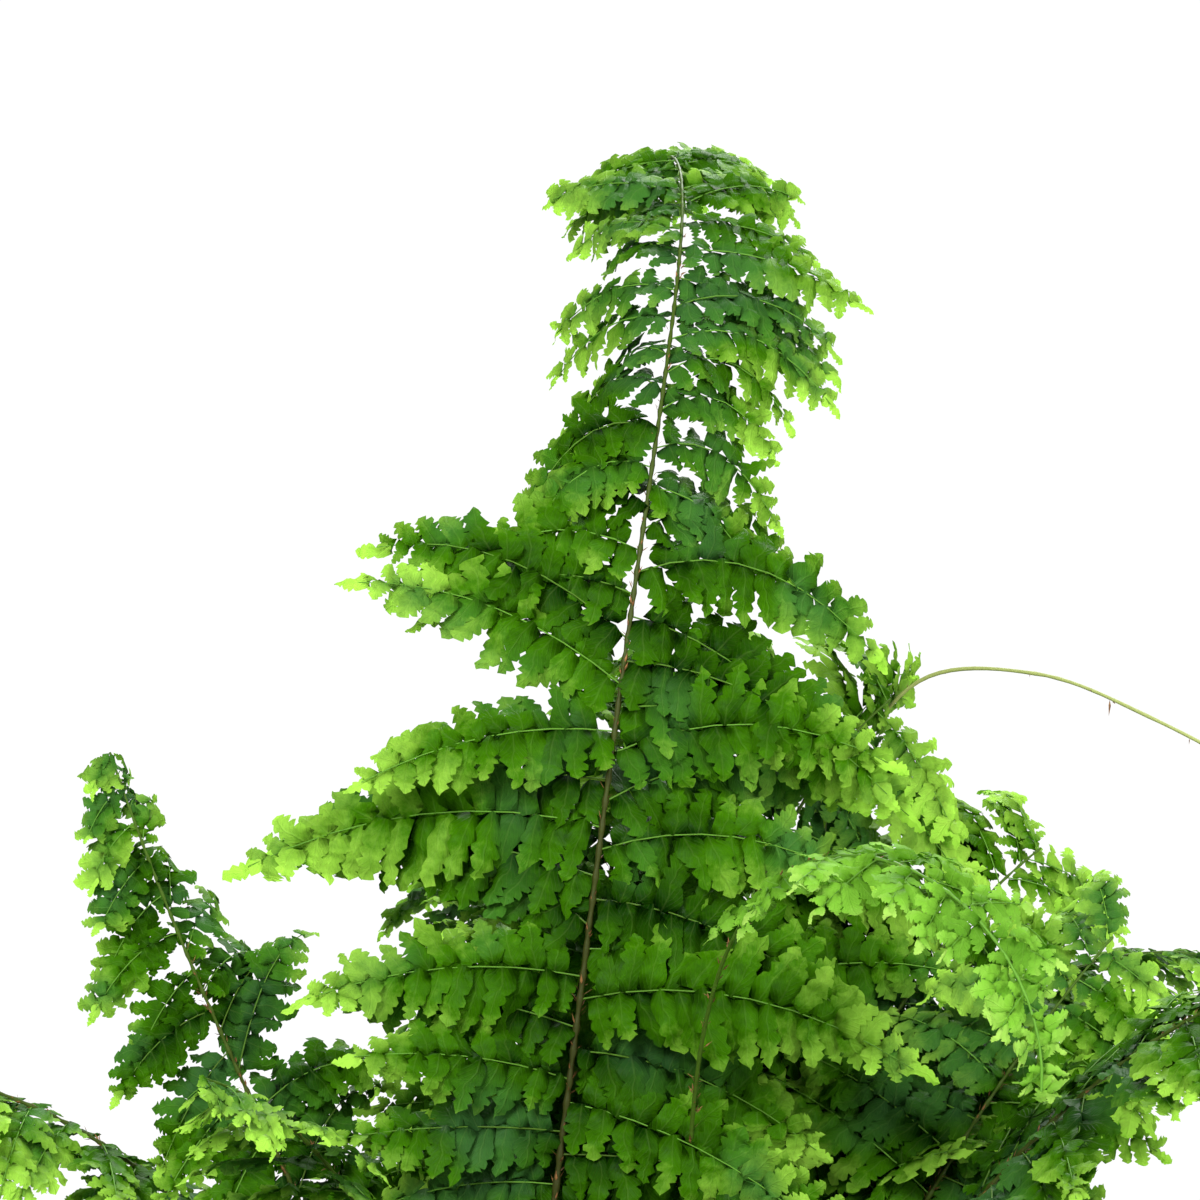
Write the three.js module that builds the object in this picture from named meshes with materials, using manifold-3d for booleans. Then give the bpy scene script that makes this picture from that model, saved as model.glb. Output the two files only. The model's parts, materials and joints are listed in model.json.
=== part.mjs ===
// A potted fern: a clay pot, potting soil, the fern's crown, its twice-cut fronds and two runners.
// Millimetres, +Z up. The origin is the middle of the pot's foot. +Y points away from the viewer.
import * as THREE from "three";
import { mergeVertices } from "three/addons/utils/BufferGeometryUtils.js";
import Module from "manifold-3d";

// ---- Driving dimensions, in millimetres and degrees ----
const GAP = 0.35; // left between touching pieces

const POT = {
  footRadius: 46,
  rimRadius: 70,
  height: 125,
  wall: 6.5,
  floor: 8,
  rimHeight: 24,
  rimStep: 4,
  rounding: 2.5,
  drain: { radius: 4.5, from: 22, count: 3 },
  sides: 36,
};
const SOIL = { edgeBelowRim: 13, mound: 4, clear: 0.95, sides: 24 };
const CROWN = { radius: 8, above: 11, below: 12, sides: 10 };
const STALK = { depth: 13, nearest: 13.5, furthest: 31 }; // how deep and how far out stalks stand

const RIB = { width: 2.6, height: 2.2, tipShare: 0.5, steps: 64 }; // a frond's main rib
const LEAFLET = {
  firstAt: 0.17, // the stalk is bare below this share of the frond
  spacing: 29,
  base: 5, // its width where it meets the rib
  halfWidthShare: 0.16, // of its own length, on top of the least half width
  halfWidthLeast: 4.5,
  keel: 1.2, // thickness along its midrib
  angle: [82, 55], // to the rib, at the frond's foot and tip
  rise: [9, -10], // above the frond's face, at the frond's foot and tip
  droop: [0.5, 0.9], // how fast it bends down, at the frond's foot and tip
  fold: 14, // how far each half hangs from its midrib
  shingle: 20, // how far it is turned, so that its lower edge lies over the next one
  stray: { length: 0.16, angle: 15, rise: 13, twist: 30 }, // the most by which one differs
  long: 36, // from this length on it has three lobes a side, below it two
  least: 9,
};
// The lobed edge and the points on the midrib, as shares of the length and of the half width.
const LONG_FORM = {
  edge: [
    [0.16, 0.72],
    [0.27, 0.46],
    [0.4, 1.0],
    [0.54, 0.6],
    [0.66, 0.78],
    [0.8, 0.36],
  ],
  midrib: [0.3, 0.64],
};
const SHORT_FORM = {
  edge: [
    [0.26, 0.95],
    [0.44, 0.55],
    [0.62, 0.85],
  ],
  midrib: [0.42],
};

const RUNNER = { radius: 0.65, sides: 5, steps: 22 };

// The fronds that the picture shows. Each pair of values is at the frond's foot and at its tip. az is
// the way it leans: 0 to the right, 90 away from the viewer. lean is from upright, and late says how
// late it bends. roll turns its face about its rib, half is its longest leaflet, and foot is where
// its stalk leaves the soil. limp leaflets droop more, and sag adds to that halfway up. skew tips the
// left leaflets towards the tip and the right ones back. The leaflets get shorter beyond the share
// full, by the share fall at the tip, and stop at the share bare.
const SHOWN = [
  { az: [14, 106], lean: [9, 130], late: 4.2, length: 428, half: 70, roll: [68, -12], foot: [-25, -24],
    sag: 1.6, skew: 3 },
  { az: [186, 182], lean: [26, 18], late: 3, length: 222, half: 42, roll: [-52, -62], foot: [-17, -5],
    limp: 1.7, skew: -28 },
  { az: [192, 202], lean: [31, 108], late: 2.4, length: 237, half: 46, roll: [-8, 2], foot: [-24, 21] },
  { az: [-112, -31], lean: [3, 185], late: 2.8, length: 300, half: 20, roll: [0, 20], foot: [20, -6],
    bare: 0.6, limp: 0.5, young: true },
  { az: [14, 34], lean: [13, 62], late: 2.2, length: 202, half: 62, roll: [70, 62], foot: [20, 14],
    full: 0.45, fall: 0.62 },
  { az: [4, 12], lean: [20, 42], late: 1.4, length: 182, half: 56, roll: [70, 64], foot: [28, 2],
    full: 0.45, fall: 0.7 },
  { az: [-20, -26], lean: [24, 84], late: 2, length: 250, half: 48, roll: [10, 2], foot: [26, -12] },
  { az: [232, 238], lean: [14, 72], late: 1.8, length: 190, half: 40, roll: [-10, 0], foot: [-21, -28] },
  { az: [84, 78], lean: [5, 92], late: 2.6, length: 270, half: 54, roll: [-4, 4], foot: [-3, 12] },
  { az: [10, 40], lean: [4, 62], late: 3, length: 228, half: 70, roll: [74, 68], foot: [9, 13],
    full: 0.5, fall: 0.55, skew: 8 },
];
// The fronds that fill the plant out all round: an upright ring behind, a low one, and a front one.
const RINGS = [
  { count: 3, first: 40, step: 33, lean: [19, 104], late: 1.7, length: 250, half: 50 },
  { count: 11, first: 22, step: 32.7, lean: [50, 118], late: 1.3, length: 228, half: 46 },
  { count: 3, first: 236, step: 33, lean: [32, 100], late: 1.5, length: 200, half: 44 },
];
// The most by which a ring's frond strays from its ring's values.
const STRAY = { az: 7, lean: 6, size: 0.08, sway: 10, roll: 12, twist: 14 };

// The runners' routes: one arches out to the right, one comes down behind the pot's left side.
const RUNNERS = [
  [
    [24, 9, 104],
    [30, 10, 160],
    [42, 30, 240],
    [55, 54, 300],
    [74, 58, 327],
    [100, 46, 330],
    [124, 30, 322],
    [150, 12, 308],
    [176, -6, 284],
  ],
  [
    [-16, 30, 104],
    [-30, 42, 150],
    [-66, 70, 190],
    [-100, 104, 186],
    [-120, 128, 140],
    [-126, 138, 84],
    [-124, 142, 46],
  ],
];

// ---- Helpers ----
const wasm = await Module();
wasm.setup();
const radians = THREE.MathUtils.degToRad;
const mix = ([from, to], share) => THREE.MathUtils.lerp(from, to, share);

// A repeatable draw from -1 to 1.
function draw(group, item, purpose) {
  const x = Math.sin(group * 12.9898 + item * 78.233 + purpose * 37.719) * 43758.5453;
  return 2 * (x - Math.floor(x)) - 1;
}

function solidOf(geometry) {
  const bare = new THREE.BufferGeometry();
  bare.setAttribute("position", geometry.getAttribute("position"));
  if (geometry.index) bare.setIndex(geometry.index);
  const merged = mergeVertices(bare, 1e-4);
  return new wasm.Manifold(
    new wasm.Mesh({
      numProp: 3,
      vertProperties: merged.attributes.position.array,
      triVerts: new Uint32Array(merged.index.array),
    }),
  );
}

function geometryOf(solid) {
  const { numProp, numVert, vertProperties, triVerts } = solid.getMesh();
  const corners = new Float32Array(numVert * 3);
  for (let i = 0; i < numVert; i++)
    corners.set(vertProperties.subarray(i * numProp, i * numProp + 3), i * 3);
  const geometry = new THREE.BufferGeometry();
  geometry.setAttribute("position", new THREE.BufferAttribute(corners, 3));
  geometry.setIndex(new THREE.BufferAttribute(triVerts, 1));
  geometry.computeVertexNormals();
  return geometry;
}

// Cutting holes can free a scrap between two of them, so only the biggest body is kept.
function biggestBody(solid) {
  return solid.decompose().sort((a, b) => b.volume() - a.volume())[0];
}

// A solid turned about Z from [radius, height] points that start and end on the axis, lowest first.
function turnedSolid(profile, sides) {
  const points = profile.map(([r, z]) => new THREE.Vector2(r, z));
  return solidOf(new THREE.LatheGeometry(points, sides).rotateX(Math.PI / 2));
}

// Gathers the corners and triangles of one closed body. Corners are given clockwise as seen from
// outside, or anticlockwise where mirrored.
class Body {
  corners = [];
  faces = [];

  corner(point) {
    this.corners.push(point.x, point.y, point.z);
    return this.corners.length / 3 - 1;
  }

  triangle(a, b, c, mirrored = false) {
    this.faces.push(...(mirrored ? [a, b, c] : [a, c, b]));
  }

  quad(a, b, c, d, mirrored = false) {
    this.triangle(a, b, c, mirrored);
    this.triangle(a, c, d, mirrored);
  }

  solid() {
    const geometry = new THREE.BufferGeometry();
    geometry.setAttribute("position", new THREE.Float32BufferAttribute(this.corners, 3));
    geometry.setIndex(this.faces);
    return solidOf(geometry);
  }
}

// ---- Pot, soil and crown ----
function potInside(z) {
  const radii = [POT.footRadius - POT.wall, POT.rimRadius - POT.rimStep - POT.wall];
  return mix(radii, (z - POT.floor) / (POT.height - POT.floor));
}

function makePot() {
  const { rounding, height, floor } = POT;
  const underRim = height - POT.rimHeight;
  const outside = potInside(underRim) + POT.wall;
  const profile = [
    [0, 0],
    [POT.footRadius - rounding, 0],
    [POT.footRadius, rounding],
    [outside, underRim],
    [outside + POT.rimStep, underRim + rounding],
    [POT.rimRadius, height - rounding],
    [POT.rimRadius - rounding, height],
    [potInside(height) + rounding, height],
    [potInside(height - rounding), height - rounding],
    [potInside(floor), floor],
    [0, floor],
  ];
  let pot = turnedSolid(profile, POT.sides);
  for (let i = 0; i < POT.drain.count; i++) {
    const angle = ((i + 0.5) / POT.drain.count) * 2 * Math.PI;
    const drain = new THREE.CylinderGeometry(POT.drain.radius, POT.drain.radius, 3 * floor, 12)
      .rotateX(Math.PI / 2)
      .translate(POT.drain.from * Math.cos(angle), POT.drain.from * Math.sin(angle), 0);
    pot = pot.subtract(solidOf(drain));
  }
  return pot;
}

const soilEdge = POT.height - SOIL.edgeBelowRim;
const soilTop = soilEdge + SOIL.mound;

function makeSoil(holes) {
  const low = POT.floor + GAP;
  const profile = [
    [0, low],
    [potInside(low) - SOIL.clear, low],
    [potInside(soilEdge) - SOIL.clear, soilEdge],
    [potInside(soilEdge) * 0.6, soilEdge + SOIL.mound * 0.7],
    [0, soilTop],
  ];
  let soil = turnedSolid(profile, SOIL.sides);
  for (const hole of holes) soil = soil.subtract(hole);
  return biggestBody(soil);
}

// The scaly stock, wider at the soil's surface, or its hole when it is made larger by extra.
function makeCrown(extra = 0) {
  const r = CROWN.radius + extra;
  const bottom = soilTop - CROWN.below - extra;
  const top = soilTop + CROWN.above + extra;
  const profile = [
    [0, bottom],
    [r * 0.7, bottom],
    [r, soilTop - 2],
    [r * 0.86, soilTop + CROWN.above * 0.5],
    [r * 0.4, top],
    [0, top],
  ];
  return turnedSolid(profile, CROWN.sides);
}

// ---- Fronds ----
function ringFrond(ring, r, k) {
  const az = ring.first + ring.step * k + STRAY.az * draw(r, k, 1);
  const roll = STRAY.roll * draw(r, k, 6);
  return {
    az: [az, az + STRAY.sway * draw(r, k, 5)],
    lean: ring.lean.map((lean, end) => lean + STRAY.lean * draw(r, k, 3 + end)),
    late: ring.late,
    length: ring.length * (1 + STRAY.size * draw(r, k, 2)),
    half: ring.half * (1 + STRAY.size * draw(r, k, 8)),
    roll: [roll, roll + STRAY.twist * draw(r, k, 7)],
  };
}

const fronds = [
  ...SHOWN,
  ...RINGS.flatMap((ring, r) => Array.from({ length: ring.count }, (_, k) => ringFrond(ring, r, k))),
].map((frond, number) => ({ ...frond, number }));
const leanMost = Math.max(...fronds.map((frond) => frond.lean[0]));

// A frond's rib: its direction, left and upper side at a share t of its length, and its line, which
// adds up those directions from where the stalk leaves the soil.
function ribOf(frond) {
  const frameAt = (t) => {
    const lean = radians(mix(frond.lean, t ** frond.late));
    const az = radians(mix(frond.az, t));
    const along = new THREE.Vector3(Math.cos(az), Math.sin(az), 0).multiplyScalar(Math.sin(lean));
    const up = new THREE.Vector3(Math.cos(az), Math.sin(az), 0).multiplyScalar(-Math.cos(lean));
    along.z = Math.cos(lean);
    up.z = Math.sin(lean);
    const roll = radians(mix(frond.roll, t));
    const left = new THREE.Vector3().crossVectors(up, along).applyAxisAngle(along, roll);
    return { along, left, up: up.applyAxisAngle(along, roll) };
  };
  const start = radians(frond.az[0]);
  const reach = mix([STALK.nearest, STALK.furthest], frond.lean[0] / leanMost);
  const [x, y] = frond.foot ?? [reach * Math.cos(start), reach * Math.sin(start)];
  const at = new THREE.Vector3(x, y, soilTop);
  const foot = at.clone().addScaledVector(frameAt(0).along, -STALK.depth);
  const line = [at.clone()];
  for (let i = 0; i < RIB.steps; i++) {
    at.addScaledVector(frameAt((i + 0.5) / RIB.steps).along, frond.length / RIB.steps);
    line.push(at.clone());
  }
  const place = (t) => {
    const i = Math.min(Math.floor(t * RIB.steps), RIB.steps - 1);
    return line[i].clone().lerp(line[i + 1], t * RIB.steps - i);
  };
  return { foot, frameAt, place };
}

// The rib's corners round a place at share t: upper left, upper right, lower right, lower left.
function ribCorners(rib, t, extra = 0, place = rib.place(t)) {
  const { left, up } = rib.frameAt(t);
  const taper = mix([1, RIB.tipShare], t);
  const w = (RIB.width / 2) * taper + extra;
  const h = (RIB.height / 2) * taper + extra;
  const around = [
    [w, h],
    [-w, h],
    [-w, -h],
    [w, -h],
  ];
  return around.map(([x, y]) => place.clone().addScaledVector(left, x).addScaledVector(up, y));
}

// How much of a frond's sag is felt at share u of the leafy stretch.
const sagAt = (u) => Math.exp(-(((u - 0.56) / 0.085) ** 2));

// A leaflet's length at share u of the leafy stretch: longest at a third, short towards the tip.
function leafletLength({ half, full = 0.35, fall = 0.85, sag = 0 }, u) {
  const rise = mix([0.5, 1], Math.min(1, u / 0.22) ** 0.8);
  const left = 1 - fall * Math.max(0, (u - full) / (1 - full)) ** 1.15;
  return half * rise * left * (1 - 0.2 * sag * sagAt(u));
}

// Where the leaflets stand: the right one of each pair, then its left one a base's width further on.
function leafletPlaces(frond) {
  const { bare = LEAFLET.firstAt } = frond;
  const pairs = Math.round((frond.length * (1 - bare)) / LEAFLET.spacing);
  const places = [];
  for (let pair = 0; pair < pairs; pair++) {
    const x = (pair + 0.15) / pairs;
    const u = x * (1.22 - 0.24 * x); // closer together towards the tip
    [-1, 1].forEach((side, second) => {
      const number = 2 * pair + second;
      const from = mix([bare, 1], u) + (second * LEAFLET.base) / frond.length;
      const to = mix([bare, 1], u) + ((second + 1) * LEAFLET.base) / frond.length;
      const length = leafletLength(frond, u) * (1 + LEAFLET.stray.length * draw(frond.number, number, 11));
      places.push({ side, u, from, to, number, length });
    });
  }
  return places;
}

// A leaflet's midrib: it leaves the rib at an angle, rises a little and droops under its weight.
function midribOf(frond, rib, leaflet) {
  const { side, u, from, to, number, length, tilt = 0 } = leaflet;
  const { along, left, up } = rib.frameAt(from);
  const stray = (purpose) => draw(frond.number, number, purpose);
  const skew = side * (frond.skew ?? 0);
  const angle = radians(mix(LEAFLET.angle, u) - skew + LEAFLET.stray.angle * stray(12));
  const rise = radians(mix(LEAFLET.rise, u) + LEAFLET.stray.rise * stray(13) + tilt);
  const sag = (frond.sag ?? 0) * sagAt(u);
  const droop = (mix(LEAFLET.droop, u) + 0.3 * stray(14)) * (frond.limp ?? 1) + sag;
  const sideways = left.clone().multiplyScalar(side);
  const first = along.clone().multiplyScalar(Math.cos(angle)).addScaledVector(sideways, Math.sin(angle));
  first.multiplyScalar(Math.cos(rise)).addScaledVector(up, Math.sin(rise));
  const root = rib.place((from + to) / 2).addScaledVector(sideways, RIB.width / 3);
  const frameAt = (v) => {
    const dir = first.clone();
    dir.z -= droop * v;
    dir.normalize();
    const face = up.clone().addScaledVector(dir, -up.dot(dir)).normalize();
    face.applyAxisAngle(dir, radians(LEAFLET.stray.twist * stray(15) * v + side * LEAFLET.shingle));
    return { dir, face, across: new THREE.Vector3().crossVectors(dir, face) };
  };
  const point = (v) => {
    const steps = 6;
    const at = root.clone();
    for (let i = 0; i < steps; i++)
      at.addScaledVector(frameAt((v * (i + 0.5)) / steps).dir, (v * length) / steps);
    return at;
  };
  return { frameAt, point };
}

// Adds a leaflet to a body: a lobed blade with a keel under its midrib. Its root is four corners of
// the rib: a and b above, a2 and b2 below, of which a and a2 are nearer the frond's foot.
function addLeaflet(body, frond, rib, leaflet, [a, b, b2, a2]) {
  const { side, length } = leaflet;
  const { frameAt, point } = midribOf(frond, rib, leaflet);
  const form = length > LEAFLET.long ? LONG_FORM : SHORT_FORM;
  const mirrored = side < 0;
  const half = length * LEAFLET.halfWidthShare + LEAFLET.halfWidthLeast;
  const fold = radians(LEAFLET.fold);
  const edgeCorner = (v, share, way) => {
    const { face, across } = frameAt(v);
    const out = half * share;
    const place = point(v).addScaledVector(across, way * side * out * Math.cos(fold));
    return body.corner(place.addScaledVector(face, -out * Math.sin(fold)));
  };
  const tip = body.corner(point(1));
  const above = form.midrib.map((v) => body.corner(point(v)));
  const below = form.midrib.map((v) =>
    body.corner(point(v).addScaledVector(frameAt(v).face, -LEAFLET.keel)),
  );
  // Each half is a strip between the lobed edge and the midrib, split alike above and below.
  for (const way of [-1, 1]) {
    const slant = way > 0 ? 0.05 : 0; // the lobes on the tip's side reach further along
    const edge = form.edge.map(([v, share]) => edgeCorner(v + slant, share, way));
    const [upper, lower] = way > 0 ? [b, b2] : [a, a2];
    for (const [root, middle, flip] of [
      [upper, above, mirrored !== way > 0],
      [lower, below, mirrored === way > 0],
    ]) {
      const outer = [root, ...edge];
      let i = 0;
      let j = 0;
      while (i < edge.length) {
        const halfway = (form.midrib[j] + form.midrib[j + 1]) / 2;
        if (form.edge[i][0] + slant > halfway) {
          body.triangle(outer[i], middle[j + 1], middle[j], flip);
          j++;
        }
        body.triangle(outer[i], outer[i + 1], middle[j], flip);
        i++;
      }
      body.triangle(outer[i], tip, middle[j], flip);
    }
    if (way > 0) body.triangle(b, edge[0], b2, mirrored);
    else body.triangle(a, a2, edge[0], mirrored);
  }
  body.triangle(a, above[0], b, mirrored);
  body.triangle(a2, b2, below[0], mirrored);
}

// A leaflet by itself, closed at its root, to find what it would touch.
function looseLeaflet(frond, rib, leaflet) {
  const body = new Body();
  const near = ribCorners(rib, leaflet.from).map((corner) => body.corner(corner));
  const far = ribCorners(rib, leaflet.to).map((corner) => body.corner(corner));
  const [upper, lower] = leaflet.side > 0 ? [0, 3] : [1, 2];
  const root = [near[upper], far[upper], far[lower], near[lower]];
  addLeaflet(body, frond, rib, leaflet, root);
  body.quad(...root, leaflet.side < 0);
  return body.solid();
}

// A frond as one closed body: stalk, rib and the given leaflets, or its hole in the soil when it is
// made thicker by extra.
function frondBody(frond, rib, leaflets, extra = 0) {
  const body = new Body();
  const { bare = LEAFLET.firstAt } = frond;
  const steps = Math.ceil(bare / 0.06);
  const stalk = Array.from({ length: steps }, (_, i) => (bare * i) / steps);
  const roots = leafletPlaces(frond).flatMap(({ side, from, to }) => (side < 0 ? [from, to] : [to]));
  const shares = [...stalk, ...roots, 0.985];
  const rings = [ribCorners(rib, 0, extra, rib.foot), ...shares.map((t) => ribCorners(rib, t, extra))];
  const ids = rings.map((ring) => ring.map((corner) => body.corner(corner)));
  for (let i = 0; i + 1 < ids.length; i++) {
    const [p, q] = [ids[i], ids[i + 1]];
    body.quad(p[0], q[0], q[1], p[1]);
    body.quad(p[2], q[2], q[3], p[3]);
    for (const side of [1, -1]) {
      const [upper, lower] = side > 0 ? [0, 3] : [1, 2];
      const root = [p[upper], q[upper], q[lower], p[lower]];
      const leaflet = leaflets.find((l) => l.side === side && l.from === shares[i - 1]);
      if (leaflet) addLeaflet(body, frond, rib, leaflet, root);
      else body.quad(...root.reverse(), side < 0);
    }
  }
  const tip = body.corner(rib.place(1).addScaledVector(rib.frameAt(1).along, 5));
  const last = ids[ids.length - 1];
  body.quad(...ids[0]);
  last.forEach((corner, i) => body.triangle(corner, tip, last[(i + 1) % last.length]));
  return body.solid();
}

// ---- Runners ----
function makeRunner(route, extra = 0) {
  const points = route.map((point) => new THREE.Vector3(...point));
  points[0].z -= extra;
  const outline = new THREE.Shape();
  for (let i = 0; i < RUNNER.sides; i++) {
    const angle = (i / RUNNER.sides) * 2 * Math.PI;
    const r = RUNNER.radius + extra;
    if (i) outline.lineTo(r * Math.cos(angle), r * Math.sin(angle));
    else outline.moveTo(r, 0);
  }
  outline.closePath();
  const extrudePath = new THREE.CatmullRomCurve3(points);
  const settings = { extrudePath, steps: RUNNER.steps, bevelEnabled: false };
  return solidOf(new THREE.ExtrudeGeometry(outline, settings));
}

// ---- Putting the plant together ----
const withBox = (solid) => ({ solid, box: solid.boundingBox() });

function overlap(one, other) {
  for (let k = 0; k < 3; k++) {
    if (one.box.min[k] > other.box.max[k]) return false;
    if (other.box.min[k] > one.box.max[k]) return false;
  }
  return one.solid.intersect(other.solid).volume() > 1e-4;
}

const ribs = fronds.map(ribOf);
const bareFronds = fronds.map((frond, i) => frondBody(frond, ribs[i], []));
const pot = makePot();
const crown = makeCrown();
const runners = RUNNERS.map((route) => makeRunner(route));
const soil = makeSoil([
  makeCrown(GAP),
  ...fronds.map((frond, i) => frondBody(frond, ribs[i], [], GAP)),
  ...RUNNERS.map((route) => makeRunner(route, GAP)),
]);

// A leaflet that would cut another piece is bent up or down clear of it, else shortened, else left
// out. taken holds every piece that stands already.
const taken = [pot, soil, crown, ...runners, ...bareFronds].map(withBox);
const TRIES = [1, 0.8, 0.6].flatMap((share) => [0, 14, -14, 28, -28].map((tilt) => ({ share, tilt })));

function fitLeaflets(frond, rib, ownBare) {
  const fitted = [];
  for (const leaflet of leafletPlaces(frond)) {
    for (const { share, tilt } of TRIES) {
      const tried = { ...leaflet, tilt, length: leaflet.length * share };
      if (tried.length < LEAFLET.least) continue;
      const loose = withBox(looseLeaflet(frond, rib, tried));
      if (taken.some((other) => other.solid !== ownBare && overlap(loose, other))) continue;
      fitted.push(tried);
      taken.push(loose);
      break;
    }
  }
  return fitted;
}

function material(color, roughness) {
  return new THREE.MeshStandardMaterial({ color, roughness, metalness: 0 });
}
const CLAY = material("#b5694a", 0.85);
const EARTH = material("#35271d", 0.95);
const SCALY_BROWN = material("#5c4128", 0.9);
const RUNNER_GREEN = material("#8f9a55", 0.6);
const LEAF = material("#3f8a2c", 0.5);
const YOUNG_LEAF = material("#7fbf3a", 0.5);

const fern = new THREE.Group();
function addPiece(name, solid, finish) {
  const mesh = new THREE.Mesh(geometryOf(solid), finish);
  mesh.name = name;
  fern.add(mesh);
}
addPiece("pot", pot, CLAY);
addPiece("soil", soil, EARTH);
addPiece("crown", crown, SCALY_BROWN);
runners.forEach((runner, i) => addPiece(`runner_${i + 1}`, runner, RUNNER_GREEN));
fronds.forEach((frond, i) => {
  const leaflets = fitLeaflets(frond, ribs[i], bareFronds[i]);
  const name = `frond_${String(i + 1).padStart(2, "0")}`;
  addPiece(name, frondBody(frond, ribs[i], leaflets), frond.young ? YOUNG_LEAF : LEAF);
});

export default fern;
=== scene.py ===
"""A potted fern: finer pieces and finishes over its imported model, in metres in the model's frame."""

import json
from functools import partial
from types import SimpleNamespace as Values

import bpy
import numpy as np
from bpy.props import FloatProperty, FloatVectorProperty, IntProperty, PointerProperty
from bpy.types import Operator, Panel, PropertyGroup
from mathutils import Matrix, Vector

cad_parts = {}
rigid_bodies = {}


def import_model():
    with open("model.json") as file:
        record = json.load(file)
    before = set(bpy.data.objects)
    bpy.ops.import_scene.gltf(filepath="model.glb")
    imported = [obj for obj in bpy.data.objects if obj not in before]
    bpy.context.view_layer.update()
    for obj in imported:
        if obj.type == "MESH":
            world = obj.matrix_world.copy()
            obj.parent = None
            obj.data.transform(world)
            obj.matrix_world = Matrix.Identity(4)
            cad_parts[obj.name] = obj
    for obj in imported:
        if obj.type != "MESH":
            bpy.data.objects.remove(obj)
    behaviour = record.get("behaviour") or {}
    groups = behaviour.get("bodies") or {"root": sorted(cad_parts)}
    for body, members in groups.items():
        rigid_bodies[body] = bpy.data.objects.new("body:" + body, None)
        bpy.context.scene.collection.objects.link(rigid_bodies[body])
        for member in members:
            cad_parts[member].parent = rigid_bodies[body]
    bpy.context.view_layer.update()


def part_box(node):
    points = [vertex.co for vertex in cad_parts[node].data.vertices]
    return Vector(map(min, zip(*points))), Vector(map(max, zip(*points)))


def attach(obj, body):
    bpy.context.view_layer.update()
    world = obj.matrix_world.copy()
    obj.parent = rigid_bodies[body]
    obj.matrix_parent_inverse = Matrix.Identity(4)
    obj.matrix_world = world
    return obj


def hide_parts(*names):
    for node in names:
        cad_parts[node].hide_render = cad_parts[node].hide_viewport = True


bl_info = {
    "name": "Potted fern",
    "version": (1, 0, 0),
    "blender": (4, 5, 0),
    "location": "View3D > Sidebar > Potted Fern",
    "description": "Dresses the packed model of a potted fern",
    "category": "Object",
}

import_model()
POT_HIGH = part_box("pot")[1]
MM = 0.001

# ---- The model's own values, in millimetres and degrees. A pair is for the foot and the tip. ----
SOIL_TOP = 116.0
DRAIN = Values(radius=4.5, out=22, count=3)  # holes in the pot's floor, and how far out they are
STALK = Values(depth=13.0, reach=(13.5, 31.0))  # how deep and how far out the stalks stand
RIB_STEPS = 64
LEAFLET = Values(
    first_at=0.17,  # the stalk is bare below this share of the frond
    spacing=29.0,
    base=5.0,  # its width where it meets the rib
    half_width=(4.5, 0.16),  # the least, and a share of its length
    angle=(82, 55),  # to the rib
    rise=(9, -10),
    droop=(0.5, 0.9),
    shingle=20.0,  # how far it is turned, so that its lower edge lies over the next one
)
# How leaflets stray: the number of each draw, and the most that it does.
LEAFLET_STRAY = dict(length=(11, 0.16), angle=(12, 15), rise=(13, 13), droop=(14, 0.3), twist=(15, 30))
SAG = Values(at=0.56, width=0.085)  # where on a sagging frond its leaflets droop more

# The fronds that the picture shows, as the model has them. az is the way a frond leans: 0 to the
# right, 90 away from the viewer. lean is from upright, and late says how late it bends. roll turns
# its face about its rib, half is its longest leaflet, and foot is where its stalk leaves the soil.
# limp leaflets droop more, and sag adds to that halfway up. skew tips the left leaflets towards the
# tip and the right ones back. The leaflets get shorter beyond the share full, by the share fall at
# the tip, and stop at the share bare. Only here, fresh makes a frond paler, folded hangs its lobes
# lower, and facing turns the leaflets near its tip to the viewer.
SHOWN = [
    dict(az=(14, 106), lean=(9, 130), late=4.2, length=428, half=70, roll=(68, -12), foot=(-25, -24),
         sag=1.6, skew=3, facing=0.8),
    dict(az=(186, 182), lean=(26, 18), late=3, length=222, half=42, roll=(-52, -62), foot=(-17, -5),
         limp=1.7, skew=-28, fresh=-0.12, folded=14),
    dict(az=(192, 202), lean=(31, 108), late=2.4, length=237, half=46, roll=(-8, 2), foot=(-24, 21),
         fresh=0.2),
    dict(az=(-112, -31), lean=(3, 185), late=2.8, length=300, half=20, roll=(0, 20), foot=(20, -6),
         bare=0.6, limp=0.5, young=True),
    dict(az=(14, 34), lean=(13, 62), late=2.2, length=202, half=62, roll=(70, 62), foot=(20, 14),
         full=0.45, fall=0.62),
    dict(az=(4, 12), lean=(20, 42), late=1.4, length=182, half=56, roll=(70, 64), foot=(28, 2),
         full=0.45, fall=0.7),
    dict(az=(-20, -26), lean=(24, 84), late=2, length=250, half=48, roll=(10, 2), foot=(26, -12)),
    dict(az=(232, 238), lean=(14, 72), late=1.8, length=190, half=40, roll=(-10, 0), foot=(-21, -28)),
    dict(az=(84, 78), lean=(5, 92), late=2.6, length=270, half=54, roll=(-4, 4), foot=(-3, 12)),
    dict(az=(10, 40), lean=(4, 62), late=3, length=228, half=70, roll=(74, 68), foot=(9, 13),
         full=0.5, fall=0.55, skew=8),
]
# The rings that fill the plant out: an upright one behind, a low one all round, and a front one.
RINGS = [
    dict(count=3, first=40, step=33, lean=(19, 104), late=1.7, length=250, half=50),
    dict(count=11, first=22, step=32.7, lean=(50, 118), late=1.3, length=228, half=46),
    dict(count=3, first=236, step=33, lean=(32, 100), late=1.5, length=200, half=44),
]
# The most by which a ring's frond strays from its ring's values.
STRAY = Values(az=7, lean=6, size=0.08, sway=10, roll=12, twist=14)

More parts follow.
